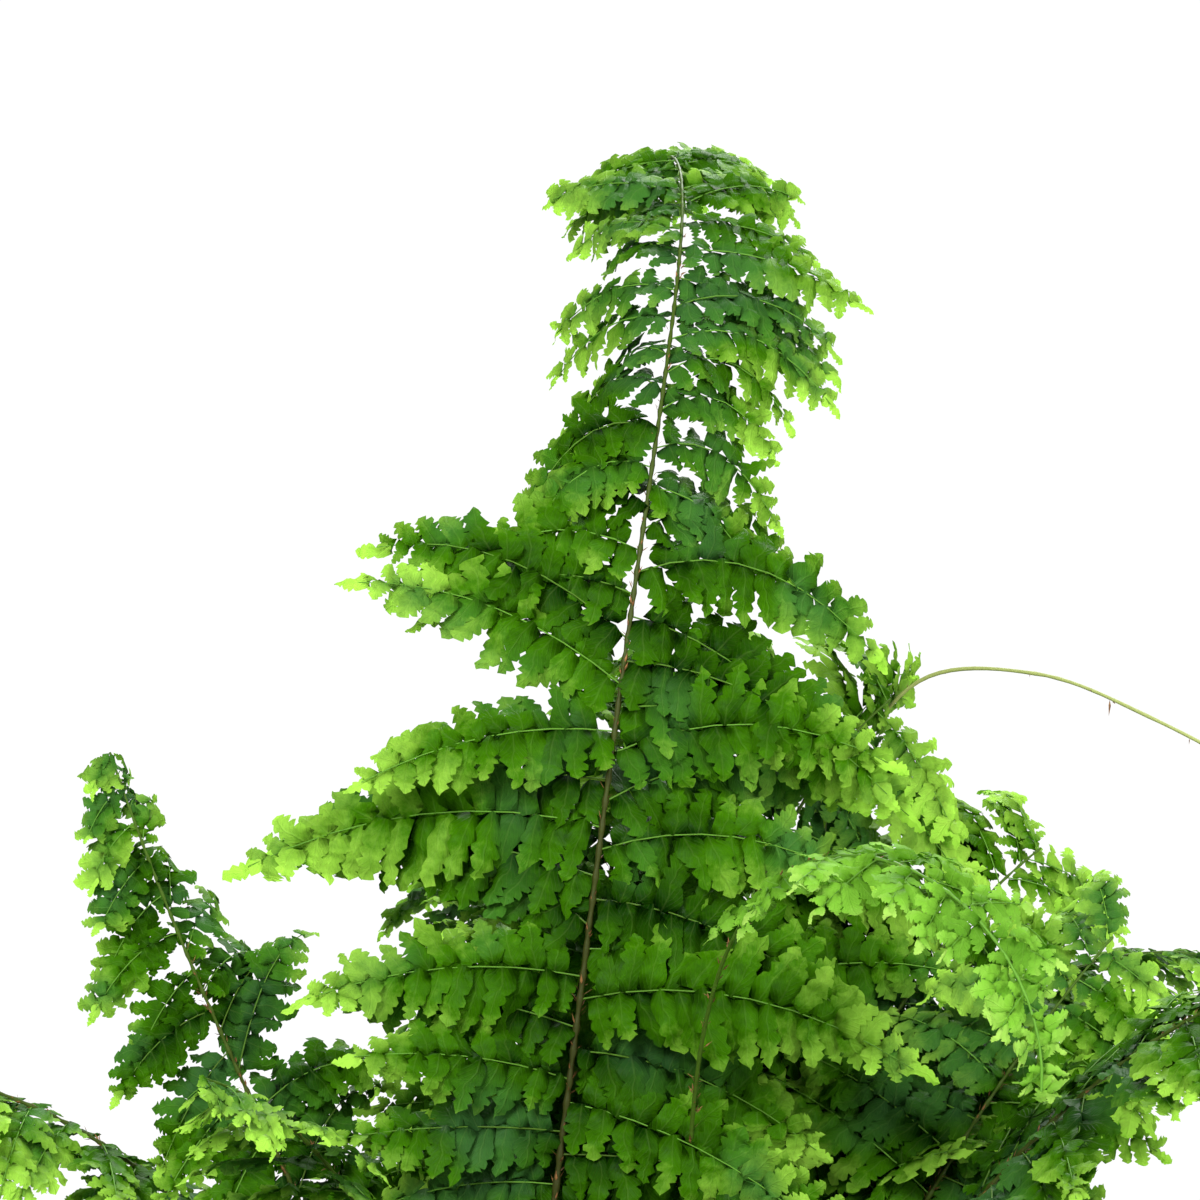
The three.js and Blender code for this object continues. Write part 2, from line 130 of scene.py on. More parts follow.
# The runners' routes: one arches out to the right, one comes down behind the pot's left side.
RUNNERS = {
    "runner_1": [
        (24, 9, 104), (30, 10, 160), (42, 30, 240), (55, 54, 300), (74, 58, 327),
        (100, 46, 330), (124, 30, 322), (150, 12, 308), (176, -6, 284),
    ],
    "runner_2": [
        (-16, 30, 104), (-30, 42, 150), (-66, 70, 190), (-100, 104, 186),
        (-120, 128, 140), (-126, 138, 84), (-124, 142, 46),
    ],
}

# ---- Values of the finer pieces, in millimetres and degrees ----
BLADE, LINE, SCALE = 0, 1, 2  # what a point of a frond's plan grows into
PER_MODEL_LEAFLET = 3  # leaflets here for each one of the model's
LEAFLETS_MOST = 211  # more than any frond has, so that each gets its own draws
# The leaflets between the model's are shorter and lower, at other angles, and a little darker, which
# is painted shade for lying behind the others. A pair is a mean and a stray.
BETWEEN = Values(shorter=(0.08, 0.08), lower=(3, 17), angle=27, darker=0.05)
VIEWER_SIDE = np.array((0.1, -0.95, 0.3))  # where the leaflets that face the viewer look
# A frond's rib: shares of its radius at its foot and tip, and how it swells where leaflets leave it.
RIB = Values(girth=(1.15, 0.3), uneven=0.06, swelling=0.7, swelling_length=1.2)
# A leaflet's lobes. angle is to the midrib at its foot and tip, and the first ones lean back more.
LOBE = Values(
    pitch=(2.5, 0.042),  # on a leaflet of no length, and more for each millimetre of it
    pitch_least=2.9,
    first=0.035,  # where on the midrib they start
    span=0.93,  # and over which share of it they stand
    length=0.93,  # of the leaflet's half width
    root=(0.74, 0.34),  # how long the first ones are, and how much less so near a frond's tip
    taper=(0.76, 0.4),  # how much shorter the last ones are, and how much less so there
    angle=(80, 46),
    lean_back=26,
    fold=(4, 17),  # how far it hangs, and the stray of that
    turn=(-6, 12),  # about its own length, so that the row lies like shingles, and its stray
    stray=Values(length=0.1, angle=7, width=0.12, shade=0.1),
)
# How much fresher leaflets are towards a frond's tip, and, from a share of it on, painted light that
# brightens the leaflets there, whose undersides face the viewer unlit.
FRESH_AND_LIT = Values(stray=0.13, along=0.12, tip=0.7, tip_from=0.6)
# The forms of single lobes, each as a mean and a stray.
LOBE_FORM = dict(bend=(0.16, 0.18), cup=(0.09, 0.08), twist=(0, 0.35), sweep=(0, 0.08))
# A lobe's toothed edge: shares of its length, and half its width there.
FINE_EDGE = [
    (0, 0.45), (0.26, 0.5), (0.4, 0.47), (0.45, 0.34), (0.51, 0.47), (0.59, 0.45), (0.64, 0.29),
    (0.7, 0.42), (0.78, 0.36), (0.82, 0.21), (0.88, 0.28), (0.93, 0.19), (0.97, 0.08),
]
PLAIN_EDGE = [(0, 0.5), (0.3, 0.5), (0.45, 0.36), (0.58, 0.43), (0.72, 0.26), (0.87, 0.28)]
# Papery scales: a length and a tilt are a mean and a stray, a width is a share of the length.
STALK_SCALE = Values(length=(2.4, 1.0), width=0.24, tilt=(35, 20), up_to=0.8)
CROWN_SCALE = Values(count=340, length=(4.0, 1.2), width=0.28, thick=0.1, golden_angle=2.39996)
# The crown's radius, its ends over the soil's surface, and its profile as shares of both.
CROWN = Values(
    radius=8.0,
    ends=(-12, 9.5),
    profile=[(0, 0.6), (0.15, 0.85), (0.45, 0.93), (0.7, 0.82), (0.9, 0.5), (1, 0.12)],
)
# The stubs of old stalks on the crown. Their lean is in radians.
STUB = Values(count=7, out=4.2, lean=(0.5, 0.25), length=(7, 2.0), girth=(1.5, 1.3, 1.2, 1.15))
# A runner's stem, from its foot to its tip, and its nubs.
RUNNER = Values(radius=(0.62, 0.36), uneven=0.12, per_leg=10, nubs=26, nub=1.3, long_nub=3.2)
# The soil: how far its edge drops, its play over the pot's floor and at its wall, and its corners.
SOIL = Values(edge_drop=4, under=0.35, beside=0.95, rings=22, around=96)
# Shares by which the pot's radius wavers, in two waves round it and in five.
POT_WOBBLE = (0.0018, 0.0012)
POT_ROUNDINGS = (2.2, 0.8, 1.6, 2.4, 2.4, 4.0)  # of its profile's corners, from the foot's edge inwards
# What is strewn on the soil: crumbs to a square metre, and their sizes in metres.
CRUMB_LAYERS = Values(
    keys=("Density", "Smallest", "Largest", "Seed"),
    peat=(110000.0, 0.0010, 0.0028, 3),
    bark=(14000.0, 0.0025, 0.0060, 5),
    perlite=(9000.0, 0.0014, 0.0032, 8),
)


# ---- Small sums ----
def linear(code):
    """A colour from its sRGB hex value."""
    parts = [int(code[i : i + 2], 16) / 255 for i in (1, 3, 5)]
    return tuple(c / 12.92 if c <= 0.04045 else ((c + 0.055) / 1.055) ** 2.4 for c in parts)


def mix(pair, share):
    """A value between the two of a pair."""
    return pair[0] + (pair[1] - pair[0]) * share


def about(pair, chance):
    """A pair's first value and so many times its second, as with a mean, a stray and a draw."""
    return pair[0] + pair[1] * chance


def progress(x, start, span):
    """How far x has come from a start over a span, from 0 to 1."""
    return np.clip((x - start) / span, 0, 1)


def draw(group, item, purpose):
    """A repeatable draw from -1 to 1, the same as the model's."""
    x = np.sin(group * 12.9898 + item * 78.233 + purpose * 37.719) * 43758.5453
    return 2 * (x - np.floor(x)) - 1


def unit(v):
    """A vector's direction, of length 1."""
    return v / np.linalg.norm(v, axis=-1, keepdims=True)


def columns(*values):
    """An array with these columns, each of them one value or one for each row."""
    return np.stack(np.broadcast_arrays(*values), axis=-1)


def swung(start, end, turn):
    """What a direction becomes when it swings towards another, which is across it. In radians."""
    turn = np.expand_dims(turn, -1)
    return start * np.cos(turn) + end * np.sin(turn)


def around_circle(count):
    """Angles at equal steps round a circle."""
    return 2 * np.pi * np.arange(count) / count


# ---- Properties ----
length_property = partial(FloatProperty, unit="LENGTH")
colour_property = partial(FloatVectorProperty, subtype="COLOR", size=3)


class FernPotSizes(PropertyGroup):
    """The pot's sizes"""

    foot_radius: length_property(name="Foot radius", description="Radius of the pot's foot", default=0.046)
    rim_radius: length_property(name="Rim radius", description="Outer radius of the rim", default=POT_HIGH.x)
    height: length_property(name="Height", description="Height of the pot", default=POT_HIGH.z)
    wall: length_property(name="Wall", description="Thickness of the pot's wall", default=0.0065)
    floor: length_property(name="Floor", description="Thickness of the pot's floor", default=0.008)
    rim_height: length_property(name="Rim band", description="Height of the rim's band", default=0.024)
    rim_step: length_property(name="Rim step", description="How far the band stands out", default=0.004)


class FernFoliageSizes(PropertyGroup):
    """The sizes of the leaflets' lobes and of the ribs"""

    lobe_pitch: length_property(
        name="Lobe pitch", description="Distance between the lobes of a long leaflet", default=0.005
    )
    overlap: FloatProperty(
        name="Overlap", description="A lobe's width as a share of its pitch", default=1.2, min=0.5, max=3
    )
    blade: FloatProperty(
        name="Blade", description="Thickness of a lobe as a share of its length", default=0.024
    )
    ruffle: length_property(name="Ruffle", description="How far the blades are ruffled", default=0.0029)
    ruffle_size: length_property(name="Ruffle size", description="How long one ruffle is", default=0.006)
    rib_radius: length_property(name="Rib radius", description="Radius of a frond's rib", default=0.00068)
    midrib_radius: length_property(
        name="Midrib radius", description="Radius of a leaflet's midrib at its foot", default=0.00021
    )
    seed: IntProperty(name="Seed", description="Changes the small irregularities", default=4)


class FernColours(PropertyGroup):
    """The colours of the pot, the soil and the leaves"""

    clay: colour_property(name="Clay", description="Fired clay", default=linear("#b5694a"))
    peat: colour_property(name="Peat", description="Damp potting soil", default=linear("#35271d"))
    # Deep green is partly the leaf's own colour near the ribs and partly painted shade for the shadow there.
    deep: colour_property(name="Deep green", description="Leaf near the ribs", default=linear("#042900"))
    leaf: colour_property(name="Leaf green", description="Grown leaf", default=linear("#3f7902"))
    tip: colour_property(name="Tip green", description="Fresh leaf at the tips", default=linear("#aee052"))
    young: colour_property(
        name="Young green", description="The young frond's leaf", default=linear("#86c23c")
    )


# ---- Nodes and materials ----
def add_node(tree, kind, inputs=None, stops=(), **settings):
    """Adds a node with its settings, and a colour ramp's stops as places with their colours.

    An input gets a value, or is linked to a socket or to a node's first output. A list of them is
    linked in its order.
    """
    made = tree.nodes.new(kind)
    for key, value in settings.items():
        setattr(made, key, value)
    if stops:
        points = made.color_ramp.elements
        while len(points) < len(stops):
            points.new(0.5)
        for point, (place, colour) in zip(points, stops):
            point.position = place
            point.color = (*colour, 1)
    for key, given in (inputs or {}).items():
        for value in given if isinstance(given, list) else [given]:
            source = value.outputs[0] if isinstance(value, bpy.types.Node) else value
            if isinstance(source, bpy.types.NodeSocket):
                tree.links.new(source, made.inputs[key])
            else:
                made.inputs[key].default_value = source
    return made


def new_material(name):
    """An empty material, and the function that adds a node to it."""
    material = bpy.data.materials.new(name)
    material.use_nodes = True
    material.node_tree.nodes.clear()
    return material, partial(add_node, material.node_tree)


def leaf_material(name, colours, roughness, cool_tone_and_sheen):
    """Living fern leaf: a thin, ruffled, slightly waxy blade with pale veins that lets light through."""
    material, add = new_material(name)
    # The shade value holds the leaf's age, with painted shade near the ribs and behind, and painted light
    # near the frond's tip.
    age = add("ShaderNodeAttribute", attribute_name="shade").outputs["Fac"]
    place = add("ShaderNodeTexCoord").outputs["Object"]
    # Mottling about 4 mm across, where the blade is thicker or thinner.
    mottle = add("ShaderNodeTexNoise", {"Vector": place, "Scale": 250, "Detail": 4, "Roughness": 0.66})
    uneven = add("ShaderNodeMath", {0: mottle, 1: 0.56, 2: -0.28}, operation="MULTIPLY_ADD")
    older = add("ShaderNodeMath", {0: age, 1: uneven}, operation="ADD", use_clamp=True)
    # A lobe is paler towards its own tip, by the map that runs across it and along it: partly fresher
    # leaf, partly painted shade at its base, where the lobes overlap.
    lobe = add("ShaderNodeUVMap", uv_map="UVMap")
    across, along = add("ShaderNodeSeparateXYZ", {0: lobe}).outputs[:2]
    outward = add("ShaderNodeMath", {0: along, 1: 0.36, 2: older}, operation="MULTIPLY_ADD")
    fresh = add("ShaderNodeValToRGB", {"Fac": outward}, colours)
    # Patches about 30 mm across are cooler, towards blue green, where the leaf is old enough: partly
    # tone that differs at random, partly painted bluish sheen.
    patches = add("ShaderNodeTexNoise", {"Vector": place, "Scale": 34, "Detail": 1})
    cool_and_sheen = add(
        "ShaderNodeMapRange", {"Value": patches, "From Min": 0.5, "From Max": 0.64, "To Max": cool_tone_and_sheen}
    )
    aged = add("ShaderNodeMapRange", {"Value": outward, "From Min": 1, "From Max": 0.5, "To Max": 1})
    cool_and_sheen = add("ShaderNodeMath", {0: cool_and_sheen, 1: aged}, operation="MULTIPLY")
    green = add("ShaderNodeMix", {0: cool_and_sheen, 6: fresh, 7: (*linear("#477c42"), 1)}, data_type="RGBA")
    # Pale veins: one down the lobe's middle, and slanting side veins about 1.3 mm apart.
    off = add("ShaderNodeMath", {0: across, 1: 0.5}, operation="SUBTRACT")
    off = add("ShaderNodeMath", {0: off}, operation="ABSOLUTE")
    slant = add("ShaderNodeMath", {0: off, 1: -0.7, 2: along}, operation="MULTIPLY_ADD")
    wave = add("ShaderNodeMath", {0: slant, 1: 56.5}, operation="MULTIPLY")
    wave = add("ShaderNodeMath", {0: wave}, operation="SINE")
    side_vein = add("ShaderNodeMapRange", {"Value": wave, "From Min": 0.55, "To Max": 0.5})
    middle = add("ShaderNodeMapRange", {"Value": off, "From Min": 0.05, "From Max": 0.015, "To Max": 1})
    vein = add("ShaderNodeMath", {0: side_vein, 1: middle}, operation="MAXIMUM")
    amount = add("ShaderNodeMath", {0: vein, 1: 0.05}, operation="MULTIPLY")
    pale = add(
        "ShaderNodeMix", {0: amount, 6: green.outputs[2], 7: (*linear("#a9cf6a"), 1)}, data_type="RGBA"
    ).outputs[2]
    height = add("ShaderNodeMath", {0: mottle, 1: 0.6, 2: vein}, operation="MULTIPLY_ADD")
    bump = add("ShaderNodeBump", {"Height": height, "Strength": 0.5, "Distance": 0.0003})
    skin = add(
        "ShaderNodeBsdfPrincipled",
        {
            "Base Color": pale,
            "Roughness": roughness,
            "IOR": 1.45,
            "Specular IOR Level": 0.05,
            "Normal": bump,
        },
    )
    # About a third of the light comes through the blade, a little yellower and brighter.
    through = add("ShaderNodeHueSaturation", {"Color": pale, "Hue": 0.49, "Saturation": 1.02, "Value": 1.3})
    glow = add("ShaderNodeBsdfTranslucent", {"Color": through, "Normal": bump})
    surface = add("ShaderNodeMixShader", {0: 0.36, 1: skin, 2: glow})
    add("ShaderNodeOutputMaterial", {0: surface})
    return material


def stem_material(name, codes):
    """A living stem: smooth skin, brown and ridged where it is old, pale green where it is fresh.

    codes are its colours by age, as places with hex values.
    """
    material, add = new_material(name)
    age = add("ShaderNodeAttribute", attribute_name="shade").outputs["Fac"]
    place = add("ShaderNodeTexCoord").outputs["Object"]
    # Specks about 1.5 mm long.
    specks = add("ShaderNodeTexNoise", {"Vector": place, "Scale": 650, "Detail": 2})
    uneven = add("ShaderNodeMath", {0: specks, 1: 0.3, 2: -0.15}, operation="MULTIPLY_ADD")
    older = add("ShaderNodeMath", {0: age, 1: uneven}, operation="ADD", use_clamp=True)
    colour = add("ShaderNodeValToRGB", {"Fac": older}, [(at, linear(code)) for at, code in codes])
    bump = add("ShaderNodeBump", {"Height": specks, "Strength": 0.4, "Distance": 0.0003})
    skin = add(
        "ShaderNodeBsdfPrincipled",
        {"Base Color": colour, "Roughness": 0.5, "IOR": 1.45, "Specular IOR Level": 0.16, "Normal": bump},
    )
    add("ShaderNodeOutputMaterial", {0: skin})
    return material


def clay_material(colour):
    """Terracotta, pressed and fired unglazed: dry, matt and sandy, with pale lime bloom near the foot."""
    material, add = new_material("terracotta_pressed_unglazed")
    place = add("ShaderNodeTexCoord").outputs["Object"]
    # Clouds of darker and lighter firing about 40 mm across.
    clouds = add("ShaderNodeTexNoise", {"Vector": place, "Scale": 26, "Detail": 5, "Roughness": 0.6})
    darker = [c * 0.78 for c in colour]
    fired = add(
        "ShaderNodeValToRGB", {"Fac": clouds}, [(0.3, darker), (0.55, colour), (0.75, linear("#c47d5c"))]
    )
    # Sand and pores about 0.6 mm, drawn at 1 mm so that they show.
    sand = add("ShaderNodeTexNoise", {"Vector": place, "Scale": 950, "Detail": 2, "Roughness": 0.7})
    grain = add("ShaderNodeValToRGB", {"Fac": sand}, [(0.35, (0.72, 0.72, 0.72)), (0.6, (1, 1, 1))])
    grained = add(
        "ShaderNodeMix", {0: 0.55, 6: fired, 7: grain}, data_type="RGBA", blend_type="MULTIPLY"
    ).outputs[2]
    # Lime bloom in patches about 18 mm across, strongest in the lowest 70 mm, where damp dries out.
    height = add("ShaderNodeSeparateXYZ", {0: place}).outputs["Z"]
    low = add("ShaderNodeMapRange", {"Value": height, "From Min": 0.07, "From Max": 0, "To Max": 0.22})
    patches = add("ShaderNodeTexNoise", {"Vector": place, "Scale": 55, "Detail": 6, "Roughness": 0.65})
    reach = add("ShaderNodeMath", {0: patches, 1: low}, operation="ADD")
    bloom = add("ShaderNodeMapRange", {"Value": reach, "From Min": 0.6, "From Max": 0.8, "To Max": 0.55})
    limed = add(
        "ShaderNodeMix", {0: bloom, 6: grained, 7: (*linear("#d9c3b0"), 1)}, data_type="RGBA"
    ).outputs[2]
    bump = add("ShaderNodeBump", {"Height": sand, "Strength": 0.35, "Distance": 0.0004})
    skin = add("ShaderNodeBsdfPrincipled", {"Base Color": limed, "Roughness": 0.88, "Normal": bump})
    add("ShaderNodeOutputMaterial", {0: skin})
    return material


def peat_material(colour):
    """Damp peat compost: dark, fibrous and crumbly, with a green film of moss in places."""
    material, add = new_material("peat_compost_damp")
    place = add("ShaderNodeTexCoord").outputs["Object"]
    # Crumbs about 2 mm across.
    crumbs = add("ShaderNodeTexNoise", {"Vector": place, "Scale": 480, "Detail": 4, "Roughness": 0.7})
    shades = [(0.32, linear("#1c130d")), (0.5, colour), (0.72, linear("#5d4734"))]
    earth = add("ShaderNodeValToRGB", {"Fac": crumbs}, shades)
    # Moss film in patches about 15 mm across.
    patches = add("ShaderNodeTexNoise", {"Vector": place, "Scale": 60, "Detail": 4, "Roughness": 0.6})
    film = add("ShaderNodeMapRange", {"Value": patches, "From Min": 0.56, "From Max": 0.66, "To Max": 0.65})
    mossy = add(
        "ShaderNodeMix", {0: film, 6: earth, 7: (*linear("#4c5f24"), 1)}, data_type="RGBA"
    ).outputs[2]
    bump = add("ShaderNodeBump", {"Height": crumbs, "Strength": 0.8, "Distance": 0.001})
    skin = add("ShaderNodeBsdfPrincipled", {"Base Color": mossy, "Roughness": 0.85, "Normal": bump})
    add("ShaderNodeOutputMaterial", {0: skin})
    return material


def grain_material(name, dark, light, size, roughness):
    """A small dry thing of one kind, its two colours mottled at a size in millimetres."""
    material, add = new_material(name)
    place = add("ShaderNodeTexCoord").outputs["Object"]
    spots = add("ShaderNodeTexNoise", {"Vector": place, "Scale": 1000 / size, "Detail": 3})
    colour = add("ShaderNodeValToRGB", {"Fac": spots}, [(0.35, linear(dark)), (0.65, linear(light))])
    bump = add("ShaderNodeBump", {"Height": spots, "Strength": 0.6, "Distance": 0.0004})
    skin = add("ShaderNodeBsdfPrincipled", {"Base Color": colour, "Roughness": roughness, "Normal": bump})
    add("ShaderNodeOutputMaterial", {0: skin})
    return material


def floor_material():
    """A floor painted matt white, a little uneven over about 170 mm."""
    material, add = new_material("floor_painted_matt")
    place = add("ShaderNodeTexCoord").outputs["Object"]
    paint = add("ShaderNodeTexNoise", {"Vector": place, "Scale": 6, "Detail": 2})
    white = add("ShaderNodeValToRGB", {"Fac": paint}, [(0, (0.9, 0.9, 0.9)), (1, (0.93, 0.93, 0.93))])
    skin = add("ShaderNodeBsdfPrincipled", {"Base Color": white, "Roughness": 0.9})
    add("ShaderNodeOutputMaterial", {0: skin})
    return material


# ---- Meshes and finished pieces ----
def shown_object(name, data):
    """A new object in the scene with this mesh, light or camera."""
    made = bpy.data.objects.new(name, data)
    bpy.context.scene.collection.objects.link(made)
    return made


def mesh_of(name, corners, faces, smooth=True, scale=MM):
    """A mesh from corners, in millimetres unless the scale says otherwise, and faces."""
    mesh = bpy.data.meshes.new(name)
    mesh.from_pydata([tuple(c) for c in np.asarray(corners) * scale], [], faces)
    mesh.polygons.foreach_set("use_smooth", [smooth] * len(mesh.polygons))
    mesh.update()
    return mesh


def plain_mesh(obj):
    """Puts what the object's modifiers make into its mesh, and removes them."""
    graph = bpy.context.evaluated_depsgraph_get()
    made = bpy.data.meshes.new_from_object(obj.evaluated_get(graph), depsgraph=graph)
    made.name = obj.name
    obj.modifiers.clear()
    obj.data = made


def run_tree(piece, tree, named, values):
    """Runs a geometry tree with these values for its inputs on a piece, and leaves it plain."""
    modifier = piece.modifiers.new(tree.name, "NODES")
    modifier.node_group = tree
    for key, value in values.items():
        modifier[named[key]] = value
    plain_mesh(piece)


def finish_piece(obj, slot, *nodes):
    """Hands a finished piece to the frame: it rides on the one body and stands for its nodes."""
    if not obj.data.polygons:
        raise RuntimeError(f"{obj.name} came out empty")
    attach(obj, "root")
    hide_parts(*nodes)


def collection_of(name, meshes):
    """An unlinked collection with one object for each mesh, in the order of their names."""
    made = bpy.data.collections.new(name)
    for mesh in meshes:
        made.objects.link(bpy.data.objects.new(mesh.name, mesh))
    return made


def discard(collection):
    """Removes a collection with its objects."""
    for obj in list(collection.objects):
        bpy.data.objects.remove(obj)
    bpy.data.collections.remove(collection)


def ring_faces(around, rings, closed=True):
    """Faces between a lowest corner, rings of corners from there on, and if closed a last corner."""
    faces = []
    for j in range(around):
        k = (j + 1) % around
        faces.append((0, 1 + k, 1 + j))
        for i in range(rings - 1):
            a, b = 1 + i * around, 1 + (i + 1) * around
            faces.append((a + j, a + k, b + k, b + j))
        if closed:
            top = 1 + (rings - 1) * around
            faces.append((top + j, top + k, top + around))
    return faces


def turned(profile, around):
    """Corners and faces of a closed turned body from [radius, height] points between two axis points."""
    inner = profile[1:-1]
    turns = around_circle(around)
    corners = [(0, 0, profile[0][1])]
    for r, z in inner:
        corners += [(r * np.cos(a), r * np.sin(a), z) for a in turns]
    corners.append((0, 0, profile[-1][1]))
    return np.array(corners), ring_faces(around, len(inner))


def lobe_mesh(name, edge, bend, cup, twist, sweep, thick):
    """One lobe of a leaflet: a thin closed blade along Y, of length 1 and about 1 wide, with teeth."""
    s, w = np.array(edge).T
    n = len(s)
    middle = columns(sweep * s**2, s, -bend * s**2)
    side = columns(w * np.cos(twist * s), 0, w * np.sin(twist * s))
    drop = columns(0, 0, cup * (w / 0.5) ** 2)
    rows = [middle - side - drop, middle, middle + side - drop, middle - (0, 0, thick)]
    corners = np.concatenate([*rows, [(sweep, 1, -bend)]])
    L, M, R, B, T = 0, n, 2 * n, 3 * n, 4 * n  # left, middle, right and below each start here, then the tip
    faces = [(L, B, R, M)]
    for i in range(n - 1):
        faces += [
            (L + i, M + i, M + i + 1, L + i + 1),
            (M + i, R + i, R + i + 1, M + i + 1),
            (L + i + 1, B + i + 1, B + i, L + i),
            (B + i + 1, R + i + 1, R + i, B + i),
        ]
    e = n - 1
    faces += [(L + e, M + e, T), (M + e, R + e, T), (T, B + e, L + e), (T, R + e, B + e)]
    mesh = mesh_of(name, corners, faces, scale=1)

    # Its map runs across it and along it.
    across = np.concatenate([0.5 - w, 0 * w + 0.5, 0.5 + w, 0 * w + 0.5, [0.5]])
    along = np.concatenate([s, s, s, s, [1]])
    corner_of = np.empty(len(mesh.loops), int)
    mesh.loops.foreach_get("vertex_index", corner_of)
    spread = mesh.uv_layers.new(name="UVMap")
    spread.data.foreach_set("uv", columns(across[corner_of], along[corner_of]).ravel())
    rim = {*range(L, L + n), *range(R, R + n), T}
    for line in mesh.edges:
        line.use_edge_sharp = set(line.vertices) <= rim
    return mesh


def scale_mesh(name):
    """A papery scale or hair along Y, of length 1: a flat spindle that ends in a point."""
    corners = [(0, 0, 0), (-0.5, 0.35, 0.1), (0.5, 0.35, 0.1), (0, 0.35, 0.35), (0, 0.35, -0.1), (0, 1, 0.5)]
    faces = [(0, 3, 1), (0, 2, 3), (0, 1, 4), (0, 4, 2), (1, 3, 5), (3, 2, 5), (4, 1, 5), (2, 4, 5)]
    return mesh_of(name, corners, faces, smooth=False, scale=1)


def crumb_mesh(name, number, flat):
    """A crumb about 1 across: an uneven ball of a few dozen faces."""
    rings, around = 3, 7
    corners = [(0, 0, -0.5 * flat)]
    for i in range(1, rings + 1):
        fall = np.pi * i / (rings + 1)
        for j in range(around):
            turn = 2 * np.pi * (j + 0.5 * i) / around
            r = 0.5 * (1 + 0.3 * draw(number, i * around + j, 1))
            x, y = r * np.sin(fall) * np.cos(turn), r * np.sin(fall) * np.sin(turn)
            corners.append((x, y, -r * np.cos(fall) * flat))
    corners.append((0, 0, 0.5 * flat))
    return mesh_of(name, corners, ring_faces(around, rings), smooth=False, scale=1)


# ---- The tree that grows a piece from its plan ----
def new_tree(name, inputs):
    """An empty geometry tree with inputs, their identifiers by name, and what adds a node to it."""
    tree = bpy.data.node_groups.new(name, "GeometryNodeTree")
    named = {}
    for title, kind, default in inputs:
        made = tree.interface.new_socket(title, in_out="INPUT", socket_type=f"NodeSocket{kind}")
        if default is not None:
            made.default_value = default
        named[title] = made.identifier
    tree.interface.new_socket("Made", in_out="OUTPUT", socket_type="NodeSocketGeometry")
    return tree, named, partial(add_node, tree)


def growth_tree():
    """Grows blades and scales on a plan's points and tubes along its lines, then ruffles the blades."""
    tree, named, add = new_tree("fern_growth", [
        ("Plan", "Geometry", None),
        ("Forms", "Collection", None),
        ("Ruffle", "Float", 0.0016),
        ("Ruffle Size", "Float", 0.007),
        ("Sides", "Int", 6),
        ("Seed", "Int", 4),
        ("Leaf", "Material", None),
        ("Stem", "Material", None),
        ("Scales", "Material", None),
    ])
    given = add("NodeGroupInput").outputs
    part, girth, form, axis, face, size = (
        add("GeometryNodeInputNamedAttribute", {"Name": key}, data_type=kind).outputs["Attribute"]
        for key, kind in (
            ("part", "INT"), ("girth", "FLOAT"), ("form", "INT"),
            ("axis", "FLOAT_VECTOR"), ("face", "FLOAT_VECTOR"), ("size", "FLOAT_VECTOR"),
        )
    )
    is_part = {
        number: add("FunctionNodeCompare", {2: part, 3: number}, data_type="INT", operation="EQUAL")
        for number in (BLADE, LINE, SCALE)
    }
    lines = add("GeometryNodeSeparateGeometry", {"Geometry": given["Plan"], "Selection": is_part[LINE]})
    curve = add("GeometryNodeMeshToCurve", {"Mesh": lines.outputs["Selection"]})
    ring = add("GeometryNodeCurvePrimitiveCircle", {"Resolution": given["Sides"], "Radius": 1})
    tubes = add(
        "GeometryNodeCurveToMesh",
        {"Curve": curve, "Profile Curve": ring, "Scale": girth, "Fill Caps": True},
    )
    forms = add(
        "GeometryNodeCollectionInfo",
        {"Collection": given["Forms"], "Separate Children": True, "Reset Children": True},
    )
    aim = add(
        "FunctionNodeAxesToRotation", {0: axis, 1: face}, primary_axis="Y", secondary_axis="Z"
    )
    grown = add(
        "GeometryNodeInstanceOnPoints",
        {
            "Points": lines.outputs["Inverted"],
            "Instance": forms,
            "Pick Instance": True,
            "Instance Index": form,
            "Rotation": aim,
            "Scale": size,
        },
    )
    both = add("GeometryNodeJoinGeometry", {0: [grown, tubes]})
    real = add("GeometryNodeRealizeInstances", {"Geometry": both})
    often = add("ShaderNodeMath", {0: 1, 1: given["Ruffle Size"]}, operation="DIVIDE")
    noise = add(
        "ShaderNodeTexNoise", {"Scale": often, "Detail": 2, "Roughness": 0.6, "W": given["Seed"]},
        noise_dimensions="4D",
    ).outputs["Color"]
    centred = add("ShaderNodeVectorMath", {0: noise, 1: (0.5, 0.5, 0.5)}, operation="SUBTRACT")
    push = add("ShaderNodeVectorMath", {0: centred, "Scale": given["Ruffle"]}, operation="SCALE")
    twice = add("ShaderNodeVectorMath", {0: push, "Scale": 2}, operation="SCALE")
    flow = add(
        "GeometryNodeSetPosition", {"Geometry": real, "Selection": is_part[BLADE], "Offset": twice}
    )
    for number, name in ((BLADE, "Leaf"), (LINE, "Stem"), (SCALE, "Scales")):
        flow = add(
            "GeometryNodeSetMaterial",
            {"Geometry": flow, "Selection": is_part[number], "Material": given[name]},
        )
    add("NodeGroupOutput", {0: flow})
    return tree, named


